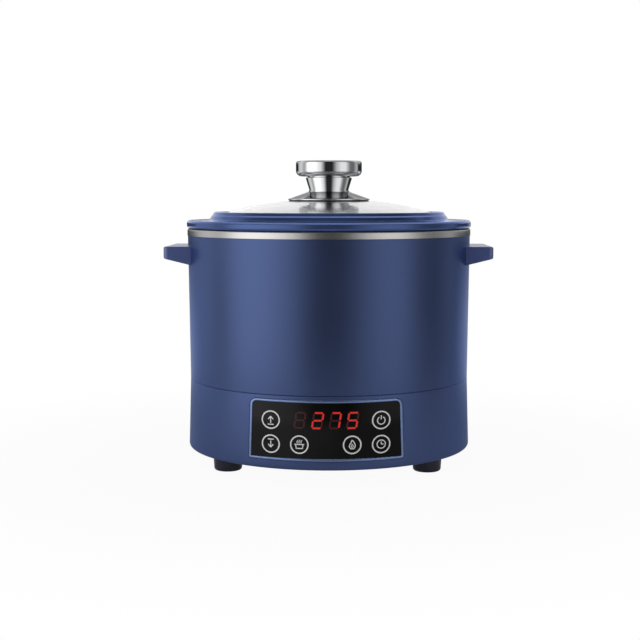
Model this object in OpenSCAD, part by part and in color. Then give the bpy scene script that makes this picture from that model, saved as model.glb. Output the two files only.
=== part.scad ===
// Countertop hot pot with a basket that a motor lifts out of the broth, under a loose glass lid.
// Millimetres, +Z up. The origin is on the table under the centre of the body. The panel faces -Y.

/* [Body] */
// Outer radius of the steel rim
body_r = 130; // [124:0.5:140]
// How far the steel rim stands proud of the shell below it
band_proud = 0.4; // [0.3:0.1:2]
// How far the waist seam lies inside the rim
waist_inset = 1.9; // [0.8:0.1:4]
// How far the base swells out again below the seam
base_swell = 1.9; // [0.5:0.1:2.4]
// Height of the upper shell, from the seam to the rim
shell_h = 131; // [126:1:150]
// Height of the base, from its bottom edge to the seam
base_h = 63; // [61:0.1:75]
// Wall of the shell and the base
wall = 2.8; // [2.2:0.1:3.4]
// Rounding of the bottom edge of the base
base_round = 3; // [2:0.5:6]
// Chamfer on each side of the seam
seam_chamfer = 0.4; // [0.3:0.1:1]
// Height of the spigot that centres the shell on the base
spigot_h = 5; // [4:0.5:7]
// Wall of that spigot
spigot_t = 2.2; // [1.6:0.1:3]

/* [Underside] */
// Thickness of the bottom cover
cover_t = 3; // [2:0.1:4]
// Width of the edge of the base around the cover
cover_edge = 2.8; // [2:0.1:4]
// Height of a rubber foot below the base
foot_h = 12.3; // [8:0.1:18]
// Diameter of a foot
foot_d = 26; // [18:0.5:30]
// Angle of a foot from the X axis
foot_angle = 37; // [30:1:45]
// Diameter of the stem that holds a foot in the cover
foot_stem_d = 6; // [4:0.5:9]
// Diameter of a cover screw
cover_screw_d = 4; // [3:0.5:5]
// Angle of a cover screw from the X axis
cover_screw_angle = 14; // [10:1:18]
// Number of cooling slots in each of the two groups in the cover
vent_count = 7; // [4:1:9]
// Width of a cooling slot
vent_w = 3; // [2:0.5:4]

/* [Handles] */
// Reach of a handle beyond the rim
handle_reach = 18.1; // [14:0.1:26]
// Width of a handle along the body
handle_w = 80; // [70:1:100]
// Thickness of a handle where its ends meet the shell
handle_root_t = 16.6; // [14:0.1:22]
// Thickness of a handle at its tip
handle_tip_t = 10.6; // [8:0.1:13]
// Drop from the top of the shell to the top of a handle
handle_drop = 9.5; // [6:0.1:20]
// Rounding of the long edges of a handle
handle_edge_r = 2; // [1:0.1:3]
// Rounding of the tip corners of a handle seen from above
handle_corner_r = 4; // [2:0.5:10]
// Distance between the two screws of a handle
handle_screw_pitch = 46; // [36:1:52]
// Diameter of a handle screw
handle_screw_d = 4; // [3:0.5:5]

/* [Pot] */
// Width of the rim, from the inside of the pot to the outside of the band
rim_w = 17; // [15:0.5:20]
// Height of the polished band
band_h = 6.2; // [4:0.1:8]
// Sheet thickness of the pot
pot_t = 1.2; // [0.8:0.1:1.6]
// Thickness of the rolled edge that makes the band
band_t = 2; // [1.6:0.1:2.4]
// Thickness of the pot's floor
pot_floor_t = 1.5; // [1.2:0.1:3]
// Depth of the pot, from the rim to the floor
pot_depth = 106.5; // [96:0.5:108]
// Rounding between the pot's wall and its floor
pot_round = 16; // [8:0.5:20]
// Gap between the pot and the well that it stands in
pot_gap = 5; // [4:0.1:5.5]
// Sheet thickness of the well
well_t = 0.8; // [0.6:0.1:1.2]
// Height of the chimney in the middle of the pot
chimney_h = 57; // [50:0.5:62]

/* [Basket] */
// Gap between the basket's wall and the pot's wall
basket_gap = 10; // [8:0.5:14]
// Sheet thickness of the basket
basket_t = 1; // [0.8:0.1:1.5]
// Height of the basket's floor above the pot's floor
basket_stand = 5; // [4:0.5:8]
// Height of the basket
basket_h = 34; // [28:1:36]
// Rounding between the basket's wall and its floor
basket_round = 6; // [4:0.5:8]
// Diameter of a drain hole in the floor
drain_d = 6; // [4:0.5:7]
// Diameter of a foot under the basket
basket_foot_d = 8; // [6:0.5:10]
// Gap between the basket's sleeve and the pot's chimney
sleeve_gap = 1.3; // [0.8:0.1:3]

/* [Lid] */
// Overhang of the lid's ring beyond the steel rim
lid_overhang = 0.4; // [0.2:0.1:3]
// Height of the ring's outer bead
bead_h = 7.9; // [7:0.1:10]
// Height of the ring's raised middle above its underside
ring_h = 14.8; // [13.5:0.1:19]
// Distance from the steel rim in to the raised middle
ring_inset = 25.3; // [22:0.1:28]
// Width of the raised middle, in to the glass
ring_top_w = 7.9; // [7:0.1:12]
// Radius of the dome of the glass
glass_curve_r = 368; // [300:1:500]
// Thickness of the glass
glass_t = 4; // [3:0.1:5]
// Thickness of the lip that holds the glass down
lip_t = 0.9; // [0.6:0.1:1.5]
// Width of glass held under that lip
glass_hold = 2.4; // [1.5:0.1:4]
// Thickness of the silicone seal round the glass
seal_t = 1.2; // [0.8:0.1:2]
// Depth of the skirt that centres the lid in the pot
plug_h = 6; // [3:0.5:10]

/* [Knob] */
// Diameter of the knob's cap
knob_d = 60.6; // [50:0.1:70]
// Height of the cap
knob_cap_h = 13.9; // [11:0.1:18]
// Rounding under the edge of the cap
knob_under_r = 5; // [2:0.1:6]
// Rounding of the top edge of the cap
knob_top_r = 2.2; // [1:0.1:4]
// Diameter of the neck under the cap
neck_top_d = 42.3; // [36:0.1:48]
// Diameter of the neck at its foot
neck_foot_d = 38.6; // [32:0.1:42]
// Height of the neck
neck_h = 14.2; // [10:0.1:20]
// Diameter of the cone under the neck
plate_d = 75; // [60:0.5:90]
// Rise of that cone
plate_rise = 7.6; // [5:0.1:10]
// Sheet thickness of that cone
plate_t = 1.4; // [1:0.1:2]
// Diameter of the bolt that holds the knob
knob_bolt_d = 6; // [5:0.5:8]

/* [Panel] */
// Width of the panel's frame at its top
panel_top_w = 129.4; // [110:0.2:136]
// Width of the panel's frame at its bottom
panel_foot_w = 132.4; // [110:0.2:140]
// Height of the panel's frame
panel_h = 51.8; // [44:0.2:52]
// Height of the frame above the bottom edge of the base
panel_rise = 7.9; // [7.4:0.1:9]
// Rounding of the frame's upper corners
panel_top_r = 6; // [3:0.5:10]
// Rounding of the frame's lower corners
panel_foot_r = 1.6; // [1:0.1:4]
// Width of the frame round the window
bezel_w = 2.4; // [1.5:0.1:3]
// How far the frame stands proud of the base
bezel_proud = 0.7; // [0.2:0.1:0.8]
// How far the window lies behind the front of the frame
window_sunk = 0.8; // [0.4:0.1:1.2]
// Thickness of the window
window_t = 2; // [1.4:0.1:2.4]
// Height of the upper row of keys above the bottom edge of the base
key_row_high = 41.7; // [38:0.1:44]
// Height of the lower row of keys above the bottom edge of the base
key_row_low = 21.5; // [19:0.1:24]
// Angle of the outer keys from the middle of the panel
key_angle_out = 21.3; // [20:0.1:23]
// Angle of the inner keys from the middle of the panel
key_angle_in = 10.2; // [9:0.1:12]
// Diameter of the foam column behind a key
pad_d = 8.5; // [7:0.5:9]
// Width of the display block
display_w = 62; // [54:1:66]
// Height of the display block
display_h = 21; // [17:0.5:22]

/* [Lift] */
// Diameter of the lead screw
screw_d = 8; // [6:0.5:10]
// Diameter of the lift tube
tube_d = 16; // [14:0.5:18]
// Wall of the lift tube
tube_t = 2; // [1.6:0.1:2.4]
// Depth of the flat that keeps the lift tube from turning
tube_flat = 0.8; // [0.5:0.1:1]
// Wall of the bush that guides the lift tube
bush_t = 3.8; // [2.5:0.1:5]
// Length of the lift nut
nut_l = 14; // [10:0.5:18]
// Tooth size of the gears
gear_module = 1; // [0.9:0.05:1.1]
// Teeth of the gear on the lead screw
gear_teeth = 48; // [44:1:54]
// Teeth of the motor's pinion
pinion_teeth = 18; // [17:1:22]
// Thickness of the gears
gear_t = 6; // [4:0.5:8]
// Play between the gears' teeth
gear_backlash = 0.2; // [0.1:0.05:0.3]
// Direction of the motor from the lead screw
motor_angle = 150; // [140:1:165]
// Diameter of the motor
motor_d = 30; // [24:0.5:34]
// Height of the motor
motor_h = 38; // [30:0.5:40]
// Diameter of the motor's shaft
shaft_d = 4; // [3:0.5:5]
// Room left between the raised basket and the lid
lift_headroom = 2.5; // [2:0.1:8]

/* [Heater] */
// Diameter of the heater plate
heater_d = 160; // [150:1:168]
// Diameter of the hole in the middle of the heater plate
heater_bore = 68; // [66:0.5:74]
// Thickness of the heater plate
heater_t = 8; // [6:0.5:9]
// Diameter of the heating tube
element_d = 8; // [6:0.2:9]
// Diameter of the ring that the heating tube makes
element_ring_d = 116; // [108:1:120]
// Angle between the ends of the heating tube
element_gap = 36; // [30:1:60]
// Diameter of the circle on which the heater's posts stand
post_ring_d = 144; // [140:1:148]
// Thickness of the heat shield
shield_t = 0.8; // [0.6:0.1:1.2]
// Room between the heat shield's raised middle and the heater plate
heater_room = 11; // [10:0.5:13]
// Distance of the temperature probe from the middle
probe_offset = 25; // [24:0.2:27]
// Diameter of the probe's button
probe_d = 11; // [8:0.5:12]

/* [Electronics] */
// Thickness of the circuit boards
board_t = 1.6; // [1.2:0.1:2]
// Width of the board behind the panel
control_w = 112; // [108:1:114]
// Height of the board behind the panel
control_h = 40; // [38:0.5:42]
// Length of the power board
power_l = 68; // [64:1:74]
// Width of the power board
power_w = 60; // [56:1:70]
// Height of the power board above the cover
power_lift = 6; // [4:0.5:10]
// Width of the mouth of the power inlet
inlet_w = 24; // [22:0.2:26]
// Height of the mouth of the power inlet
inlet_h = 16.5; // [15:0.1:18]
// Depth of the mouth of the power inlet
inlet_depth = 16; // [14:0.5:18]

/* [Fits] */
// Clearance between pieces that are pushed together
fit = 0.2; // [0.1:0.05:0.3]
// Clearance of a shaft in its bush
running = 0.06; // [0.03:0.01:0.1]
// Clearance under a piece that lifts off
seat = 0.2; // [0.1:0.05:0.3]
// Free space kept round moving pieces
free = 1.5; // [1:0.1:2.5]

/* [Hidden] */
$fn = 96;
arc_steps = 6;
small_arc_r = 2;
small_arc_steps = 3;
fine = 32;

// Heights of the main storeys
z_base = foot_h;
z_seam = z_base + base_h;
z_rim = z_seam + shell_h;
z_mouth = z_rim + band_h;

// Radii of the body
waist_r = body_r - waist_inset;
base_r = waist_r + base_swell;
shell_top_r = body_r - band_proud;
base_in_r = waist_r - wall;
spigot_r = base_in_r - fit;
spigot_in_r = spigot_r - spigot_t;
function shell_out(z) = waist_r + (shell_top_r - waist_r) * (z - z_seam) / shell_h;
function base_out(z) = waist_r + base_swell * (z_seam - z) / base_h;

// Underside
cover_gap = 0.4;
cover_r = base_r - base_round - cover_edge;
ledge_w = 3.2;
ledge_t = 2.4;
z_cover = z_base + cover_gap;
z_cover_top = z_cover + cover_t;
foot_r = foot_d / 2;
foot_ring_r = cover_r - foot_r - 0.8;
foot_angles = [foot_angle, 180 - foot_angle, 180 + foot_angle, -foot_angle];
screw_angles = [cover_screw_angle, 180 - cover_screw_angle, 180 + cover_screw_angle, -cover_screw_angle];
cover_boss_r = cover_screw_d / 2 + 3;
cover_boss_h = 16;
cover_screw_bite = 10;
cover_boss_ring_r = cover_r - ledge_w - 2.4;
vent_l = 22;
vent_step = 7;
vent_r = 80;

// Handles
handle_end_x = sqrt(body_r * body_r - handle_w * handle_w / 4);
handle_tip_x = body_r + handle_reach;
handle_slope = (handle_root_t - handle_tip_t) / (handle_tip_x - handle_end_x);
z_handle = z_rim - handle_drop;
handle_inner_x = handle_end_x - 12;
handle_screw_y = handle_screw_pitch / 2;
handle_boss_r = handle_screw_d / 2 + 3;
z_handle_screw = z_handle - handle_tip_t / 2;
handle_in_r = shell_out(z_handle_screw) - wall;
handle_boss_x = sqrt(pow(handle_in_r, 2) - pow(handle_screw_y + handle_boss_r, 2)) - 1.5;
handle_screw_l = 16;

// Pot, well and chimney
pot_r = body_r - rim_w;
pot_out_r = pot_r + pot_t;
well_in_r = pot_out_r + pot_gap;
well_out_r = well_in_r + well_t;
z_floor = z_mouth - pot_depth;
z_under = z_floor - pot_floor_t;
bush_r = tube_d / 2 + bush_t;
chimney_in_r = bush_r + 1;
chimney_foot_w = 5;
chimney_r = chimney_in_r + pot_t;
z_chimney = z_floor + chimney_h;

// Heat shield, heater and probe
z_shield = z_seam + spigot_h;
z_shield_top = z_shield + shield_t;
shield_r = base_in_r - fit;
z_heater_top = z_under - seat;
z_heater = z_heater_top - heater_t;
heater_r = heater_d / 2;
element_r = element_d / 2;
element_ring_r = element_ring_d / 2;
z_element = z_heater - 0.4;
element_drop = 22;
z_pan = z_heater - heater_room;
z_pan_top = z_pan + shield_t;
well_lift = 4;
z_well_floor = z_shield_top + well_lift;
well_bore_r = heater_r + 4;
pan_r = well_bore_r - 2;
post_r = 4;
probe_angle = -60;
probe_r = probe_d / 2;
probe_cap_t = 3.5;
probe_stem_r = 2.2;
probe_stop_r = 3.2;
probe_stop_t = 1.5;
z_probe_stop = z_pan - seat - probe_stop_t;
spring_r = 3.4;
spring_wire_r = 0.5;
spring_turns = 6;
spring_rings = 12;
spring_sides = 6;

// Basket
basket_r = pot_r - basket_gap;
z_basket = z_floor + basket_stand;
z_basket_top = z_basket + basket_h;
sleeve_in_r = chimney_r + sleeve_gap;
sleeve_r = sleeve_in_r + basket_t;
sleeve_flange_r = sleeve_r + 8;
z_plate = z_basket + basket_t;
z_cap_under = z_chimney + 2.4;
sleeve_cap_t = 1.6;
z_cap = z_cap_under + sleeve_cap_t;
basket_floor_r = basket_r - basket_round - basket_t;
basket_lip_w = 2;
basket_foot_ring_r = 62;
drain_pitch = 18;
drain_first_r = sleeve_flange_r + drain_d / 2 + 4;
drain_last_r = basket_floor_r - basket_lip_w - drain_d / 2 - 1;
basket_bead_r = 1.8;
z_basket_rim = z_basket_top + basket_bead_r;

// Lid
z_lid = z_mouth + seat;
lid_r = body_r + lid_overhang;
ring_r = body_r - ring_inset;
lip_r = ring_r - ring_top_w;
glass_edge_r = lip_r + glass_hold;
z_ring_top = z_lid + ring_h;
function sag(r) = glass_curve_r - sqrt(glass_curve_r * glass_curve_r - r * r);
z_apex = z_ring_top - lip_t - fit + sag(lip_r);
function glass_top(r) = z_apex - sag(r);
glass_bore_r = knob_bolt_d / 2 + 1;
plug_r = pot_r - 1.2;
plug_t = 2.2;
seal_in_r = lip_r - 1;
seal_out_r = glass_edge_r + fit + seal_t;
z_seal = glass_top(glass_edge_r) - glass_t - seal_t - fit;
hold_in_r = seal_in_r - 1;
trough_h = bead_h - 0.9;
bead_under_r = 2.6;
bead_top_r = 3.4;
ring_foot_w = 6;
ring_foot_r = 6;
ring_top_r = 5;

// Knob
plate_r = plate_d / 2;
gasket_t = 0.4;
gasket_w = 4;
z_knob_plate = glass_top(plate_r - gasket_w) + gasket_t;
z_neck = z_knob_plate + plate_rise;
z_knob = z_neck + neck_h;
z_top = z_knob + knob_cap_h;
neck_spigot_h = 6;
neck_spigot_r = neck_top_d / 2 - 5;
bolt_r = knob_bolt_d / 2;
washer_r = 11;
washer_t = 1.5;
bolt_head_r = knob_bolt_d / 2 + 2.5;
bolt_head_t = 3.5;
z_washer = z_apex - glass_t - sag(washer_r) - washer_t;
z_bolt_head = z_washer - bolt_head_t;

// Lift drive
lift_stroke = min(z_bolt_head - z_cap, z_lid - plug_h - z_basket_rim) - lift_headroom;
screw_r = screw_d / 2;
tube_r = tube_d / 2;
tube_in_r = tube_r - tube_t;
cover_hub_h = 3;
z_hub = z_cover_top + cover_hub_h;
lower_bush_r = screw_r + 3;
lower_flange_t = 1;
z_screw = z_cover + 1.5;
z_gear = z_hub + lower_flange_t + 0.3;
z_gear_hub = z_gear + gear_t + 1;
z_tube = z_gear_hub + free;
z_tube_top = z_cap_under - seat;
z_screw_top = z_tube + lift_stroke + nut_l + 2;
tip_h = 4;
bush_drop = 14;
z_bush = z_pan - bush_drop;
z_bush_top = z_floor + 4;
bush_flange_r = bush_r + 5;
bush_flange_t = 3;
pressure_angle = 20;
flank_steps = 3;
gear_hole_r = 4;
function pitch_r(teeth) = gear_module * teeth / 2;
motor_x = pitch_r(gear_teeth) + pitch_r(pinion_teeth);
motor_r = motor_d / 2;
shaft_r = shaft_d / 2;
shaft_in_motor = 9;
bracket_t = 2;
z_bracket = z_gear + gear_t + 2;
z_motor = z_bracket + bracket_t;
bracket_r = motor_r + 5;
bracket_post_r = 4;
bracket_post_angles = [-70, 0, 70];

// Panel, board, display and pads
z_panel = z_base + panel_rise;
z_panel_top = z_panel + panel_h;
bezel_ledge_w = 1.6;
bezel_ledge_t = 1.4;
z_key_high = z_base + key_row_high;
z_key_low = z_base + key_row_low;
keys = [
    [-key_angle_out, z_key_high], [key_angle_out, z_key_high],
    [-key_angle_out, z_key_low], [key_angle_out, z_key_low],
    [-key_angle_in, z_key_low], [key_angle_in, z_key_low]
];
window_rear_r = base_out(z_panel_top) + bezel_proud - window_sunk - window_t;
control_y = sqrt(pow(base_in_r, 2) - pow(control_w / 2, 2)) - 4;
z_control = (z_key_high + z_key_low) / 2;
control_post_x = control_w / 2 - 5;
control_posts = [[-control_post_x, z_control], [control_post_x, z_control], [0, z_key_low]];
control_post_r = 3;
control_screw_r = 1.2;
control_screw_bite = 4;
pad_slack = 0.3;
display_front = sqrt(pow(window_rear_r, 2) - pow(display_w / 2, 2)) - 0.6;

// Power board and its parts
power_in = pitch_r(gear_teeth) + gear_module + free;
power_out = sqrt(pow(cover_boss_ring_r - cover_boss_r, 2) - pow(power_w / 2, 2));
power_x = (power_in + power_out) / 2;
z_power = z_cover_top + power_lift;
z_parts = z_power + board_t;
power_post_x = power_l / 2 - 4;
power_post_y = power_w / 2 - 4;
power_post_r = 3.5;
power_screw_rest = 2;
transformer_size = [30, 26, 24];
transformer_at = [12, 6];
relay_size = [19, 15.5, 15.5];
relay_at = [-18, -15];
capacitor_r = 6.5;
capacitor_h = 20;
capacitor_at = [-17, 14];

// Power inlet
inlet_wall = 1.8;
inlet_face = base_out(z_seam) - 2.5;
inlet_flange = 5;
inlet_flange_t = 2;
z_inlet = z_base + base_h / 2 + 4;
inlet_out_w = inlet_w + 2 * inlet_wall;
inlet_out_h = inlet_h + 2 * inlet_wall;
inlet_half_w = inlet_out_w / 2 + inlet_flange;
inlet_half_h = inlet_out_h / 2 + inlet_flange;
inlet_seat = sqrt(pow(base_in_r, 2) - pow(inlet_half_w, 2)) - fit;
inlet_back = inlet_face - inlet_depth - 3;
pin_w = 2;
pin_h = 4;
pin_pitch = 7;
pin_rise = 2;
pin_places = [
    [-pin_pitch, z_inlet - pin_rise], [0, z_inlet + pin_rise], [pin_pitch, z_inlet - pin_rise]
];
pin_tail = 7;
pin_sunk = 6;

function unit(v) = v / norm(v);
function polar(r, a) = [r * cos(a), r * sin(a)];
function corner_xy(c) = [c.x, c.y];

// Points of the arc of radius r that rounds corner q between its neighbours p and s
function fillet(p, q, s, r) =
    r == undef || r <= 0 ? [q] :
    let (a = unit(p - q), b = unit(s - q))
    let (half = acos(a * b) / 2)
    let (c = q + unit(a + b) * r / sin(half))
    let (from = q + a * r / tan(half) - c, to = q + b * r / tan(half) - c)
    let (start = atan2(from.y, from.x))
    let (swing = atan2(from.x * to.y - from.y * to.x, from * to))
    let (steps = r < small_arc_r ? small_arc_steps : arc_steps)
    [for (i = [0 : steps]) c + polar(r, start + swing * i / steps)];

// Outline from corners [x, y, rounding], where a corner without a rounding is sharp
function rounded(corners) =
    let (n = len(corners))
    [for (i = [0 : n - 1]) each fillet(
        corner_xy(corners[(i + n - 1) % n]),
        corner_xy(corners[i]),
        corner_xy(corners[(i + 1) % n]),
        corners[i][2]
    )];

// Solid of revolution from corners [radius, height, rounding]
module turned(corners) {
    rotate_extrude() polygon(rounded(corners));
}

// Block with its low corner's x and y centred
module block(size, low) {
    translate([low.x - size.x / 2, low.y - size.y / 2, low.z]) cube(size);
}

// Cylinder along +X from x0 to x1
module rod_x(r, x0, x1, y, z) {
    translate([x0, y, z]) rotate([0, 90, 0]) cylinder(r = r, h = x1 - x0, $fn = fine);
}

// Cylinder along Y from y0 up to y1
module rod_y(r, y0, y1, x, z) {
    translate([x, y1, z]) rotate([90, 0, 0]) cylinder(r = r, h = y1 - y0, $fn = fine);
}

// Tube round the Z axis
module tube(r_in, r_out, z0, z1) {
    difference() {
        translate([0, 0, z0]) cylinder(r = r_out, h = z1 - z0);
        translate([0, 0, z0 - 1]) cylinder(r = r_in, h = z1 - z0 + 2);
    }
}

// Everything at each angle on a circle of radius r
module around(r, angles) {
    for (a = angles) rotate(a) translate([r, 0, 0]) children();
}

// Screw with its head's seat at the origin and its shank along +Z
module screw(d, l) {
    translate([0, 0, -d / 2]) cylinder(r = d * 0.9, h = d / 2, $fn = fine);
    cylinder(r = d / 2, h = l, $fn = fine);
}

// Shell, down to the seam, with an inward flange that carries the well
module outer_shell() {
    flange_in_r = well_out_r + fit;
    z_flange = z_rim - wall;
    color("midnightblue") difference() {
        union() {
            turned([
                [base_in_r, z_seam],
                [waist_r - seam_chamfer, z_seam],
                [shell_out(z_seam + seam_chamfer), z_seam + seam_chamfer],
                [shell_top_r, z_rim, 0.3],
                [flange_in_r, z_rim],
                [flange_in_r, z_flange],
                [shell_out(z_flange) - wall, z_flange, 2]
            ]);
            for (side = [0, 180]) rotate(side) handle_bosses();
        }
        for (side = [0, 180]) rotate(side) handle_holes(handle_boss_x - 1, body_r + 5);
    }
}

module handle_bosses() {
    boss_end = sqrt(pow(handle_in_r + wall / 2, 2) - pow(handle_screw_y + handle_boss_r, 2));
    for (y = [-handle_screw_y, handle_screw_y])
        rod_x(handle_boss_r, handle_boss_x, boss_end, y, z_handle_screw);
}

module handle_holes(x0, x1) {
    for (y = [-handle_screw_y, handle_screw_y])
        rod_x(handle_screw_d / 2 + fit, x0, x1, y, z_handle_screw);
}

// Outside of the shell as a solid, which shapes the roots of the handles
module shell_envelope() {
    turned([[0, z_seam], [waist_r, z_seam], [shell_top_r, z_rim], [0, z_rim]]);
}

// Lug handle on the +X side: a wedge that thins towards its tip
module handle() {
    inner_t = handle_root_t + handle_slope * (handle_end_x - handle_inner_x);
    side_view = [
        [handle_inner_x, z_handle],
        [handle_tip_x, z_handle, handle_edge_r],
        [handle_tip_x, z_handle - handle_tip_t, handle_edge_r],
        [handle_inner_x, z_handle - inner_t]
    ];
    plan = [
        [handle_inner_x, -handle_w / 2],
        [handle_tip_x, -handle_w / 2, handle_corner_r],
        [handle_tip_x, handle_w / 2, handle_corner_r],
        [handle_inner_x, handle_w / 2]
    ];
    color("midnightblue") difference() {
        intersection() {
            rotate([90, 0, 0]) linear_extrude(handle_w + 2, center = true) polygon(rounded(side_view));
            translate([0, 0, z_handle - inner_t]) linear_extrude(inner_t) polygon(rounded(plan));
        }
        shell_envelope();
        handle_holes(handle_inner_x, handle_boss_x + handle_screw_l + 1);
    }
}

module right_handle() {
    handle();
}

module left_handle() {
    mirror([1, 0, 0]) handle();
}

module handle_screws() {
    color("silver") for (side = [0, 180], y = [-handle_screw_y, handle_screw_y])
        rotate(side) translate([handle_boss_x, y, z_handle_screw]) rotate([0, 90, 0])
            screw(handle_screw_d, handle_screw_l);
}

// Base ring with a spigot for the shell, a ledge for the cover, and openings for panel and inlet
module base_housing() {
    shoulder = 3;
    ledge_r = cover_r - ledge_w;
    color("midnightblue") difference() {
        union() {
            turned([
                [cover_r + fit, z_base],
                [base_r, z_base, base_round],
                [base_out(z_seam - seam_chamfer), z_seam - seam_chamfer],
                [waist_r - seam_chamfer, z_seam],
                [spigot_r, z_seam],
                [spigot_r, z_seam + spigot_h],
                [spigot_in_r, z_seam + spigot_h],
                [spigot_in_r, z_seam - 1],
                [base_in_r, z_seam - 1 - shoulder],
                [base_in_r, z_cover_top + ledge_t, 1],
                [ledge_r, z_cover_top + ledge_t],
                [ledge_r, z_cover_top],
                [cover_r + fit, z_cover_top]
            ]);
            around(cover_boss_ring_r, screw_angles)
                translate([0, 0, z_cover_top]) cylinder(r = cover_boss_r, h = cover_boss_h, $fn = fine);
        }
        around(cover_boss_ring_r, screw_angles) translate([0, 0, z_cover_top - 1])
            cylinder(r = cover_screw_d / 2 + fit, h = cover_boss_h, $fn = fine);
        front_prism(panel_outline(-fit));
        translate([-inlet_out_w / 2 - fit, 0, z_inlet - inlet_out_h / 2 - fit])
            cube([inlet_out_w + 2 * fit, base_r + 5, inlet_out_h + 2 * fit]);
    }
}

// Outline of the panel in the XZ plane, drawn in by the given inset
function panel_outline(inset) =
    let (top = panel_top_w / 2 - inset, foot = panel_foot_w / 2 - inset)
    rounded([
        [-foot, z_panel + inset, max(0.5, panel_foot_r - inset)],
        [foot, z_panel + inset, max(0.5, panel_foot_r - inset)],
        [top, z_panel_top - inset, max(0.5, panel_top_r - inset)],
        [-top, z_panel_top - inset, max(0.5, panel_top_r - inset)]
    ]);

// Prism on the front of the body with the given outline
module front_prism(outline) {
    rotate([90, 0, 0]) translate([0, 0, body_r / 2]) linear_extrude(body_r / 2 + 10) polygon(outline);
}

// Ring that follows the outside of the base, between two depths behind its surface
module base_skin(deep, shallow) {
    low = z_panel - 10;
    high = z_panel_top + 10;
    turned([
        [base_out(low) - deep, low],
        [base_out(low) - shallow, low],
        [base_out(high) - shallow, high],
        [base_out(high) - deep, high]
    ]);
}

// Frame round the window: a rim that shows, and a ledge behind it that the window lies against
module panel_bezel() {
    window_back = window_sunk + window_t - bezel_proud;
    color("cornflowerblue") difference() {
        intersection() {
            base_skin(window_back + bezel_ledge_t, -bezel_proud);
            front_prism(panel_outline(0));
        }
        front_prism(panel_outline(bezel_w + bezel_ledge_w));
        intersection() {
            base_skin(window_back, -bezel_proud - 1);
            front_prism(panel_outline(bezel_w));
        }
    }
}

// Glossy window with screw posts on its back for the control board
module panel_window() {
    face = window_sunk - bezel_proud;
    color("black") difference() {
        union() {
            intersection() {
                base_skin(face + window_t - fit, face);
                front_prism(panel_outline(bezel_w + fit));
            }
            intersection() {
                base_envelope(face + window_t / 2);
                for (p = control_posts) rod_y(control_post_r, -body_r, -control_y, p.x, p.y);
            }
        }
        for (p = control_posts)
            rod_y(control_screw_r + fit, -control_y - control_screw_bite - 1, -control_y + 1, p.x, p.y);
    }
}

// Inside of the base as a solid, drawn in by the given depth
module base_envelope(depth) {
    turned([
        [0, z_base],
        [base_out(z_base) - depth, z_base],
        [base_out(z_seam) - depth, z_seam],
        [0, z_seam]
    ]);
}

module control_board() {
    color("darkgreen") difference() {
        translate([-control_w / 2, -control_y, z_control - control_h / 2])
            cube([control_w, board_t, control_h]);
        for (p = control_posts)
            rod_y(control_screw_r + fit, -control_y - 1, -control_y + board_t + 1, p.x, p.y);
    }
}

module board_screws() {
    color("silver") {
        for (p = control_posts) translate([p.x, -control_y + board_t, p.y]) rotate([90, 0, 0])
            screw(2 * control_screw_r, board_t + control_screw_bite);
        for (x = [-power_post_x, power_post_x], y = [-power_post_y, power_post_y])
            translate([power_x + x, y, z_parts]) rotate([180, 0, 0])
                screw(2 * control_screw_r, board_t + power_lift - power_screw_rest);
    }
}

// Four-digit display in its housing, between the board and the window
module display_module() {
    z_display = z_key_high;
    color("maroon") translate([-display_w / 2, -display_front, z_display - display_h / 2])
        cube([display_w, display_front - control_y, display_h]);
}

// Foam columns that carry the touch of each key from the window to the board
module touch_pads() {
    color("dimgray") intersection() {
        cylinder(r = window_rear_r - pad_slack, h = z_seam);
        for (key = keys)
            rod_y(pad_d / 2, -body_r, -control_y, window_rear_r * sin(key[0]), key[1]);
    }
}

// Cover under the base, with cooling slots, a hub for the lead screw and posts for the power board
module bottom_cover() {
    color("#2a2a2e") difference() {
        union() {
            translate([0, 0, z_cover]) cylinder(r = cover_r, h = cover_t);
            translate([0, 0, z_cover]) cylinder(r = lower_bush_r + 3, h = cover_t + cover_hub_h);
            for (x = [-power_post_x, power_post_x], y = [-power_post_y, power_post_y])
                translate([power_x + x, y, z_cover])
                    cylinder(r = power_post_r, h = z_power - z_cover, $fn = fine);
        }
        translate([0, 0, z_screw - fit]) cylinder(r = lower_bush_r + fit / 2, h = cover_t + cover_hub_h);
        for (x = [-power_post_x, power_post_x], y = [-power_post_y, power_post_y])
            translate([power_x + x, y, z_cover + 1])
                cylinder(r = control_screw_r + fit, h = z_power - z_cover, $fn = fine);
        around(foot_ring_r, foot_angles) translate([0, 0, z_cover - 1])
            cylinder(r = foot_stem_d / 2 + fit / 2, h = cover_t + 2, $fn = fine);
        around(cover_boss_ring_r, screw_angles) translate([0, 0, z_cover - 1])
            cylinder(r = cover_screw_d / 2 + fit, h = cover_t + 2, $fn = fine);
        for (side = [90, 270], i = [0 : vent_count - 1])
            rotate(side + (i - (vent_count - 1) / 2) * vent_step)
                translate([vent_r - vent_l / 2, -vent_w / 2, z_cover - 1])
                    cube([vent_l, vent_w, cover_t + 2]);
        around(motor_x, [motor_angle]) bracket_places() translate([0, 0, z_cover - 1])
            cylinder(r = control_screw_r + fit, h = cover_t + 2, $fn = fine);
    }
}

module feet() {
    color("black") around(foot_ring_r, foot_angles) turned([
        [0, 0],
        [foot_r - 0.8, 0, 2.4],
        [foot_r, z_cover],
        [foot_stem_d / 2, z_cover],
        [foot_stem_d / 2, z_cover_top + fit],
        [foot_stem_d / 2 + 1.5, z_cover_top + fit, 0.6],
        [foot_stem_d / 2 - 0.5, z_cover_top + 3],
        [0, z_cover_top + 3]
    ]);
}

module cover_screws() {
    color("silver") around(cover_boss_ring_r, screw_angles) translate([0, 0, z_cover])
        screw(cover_screw_d, cover_t + cover_screw_bite);
}

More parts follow.
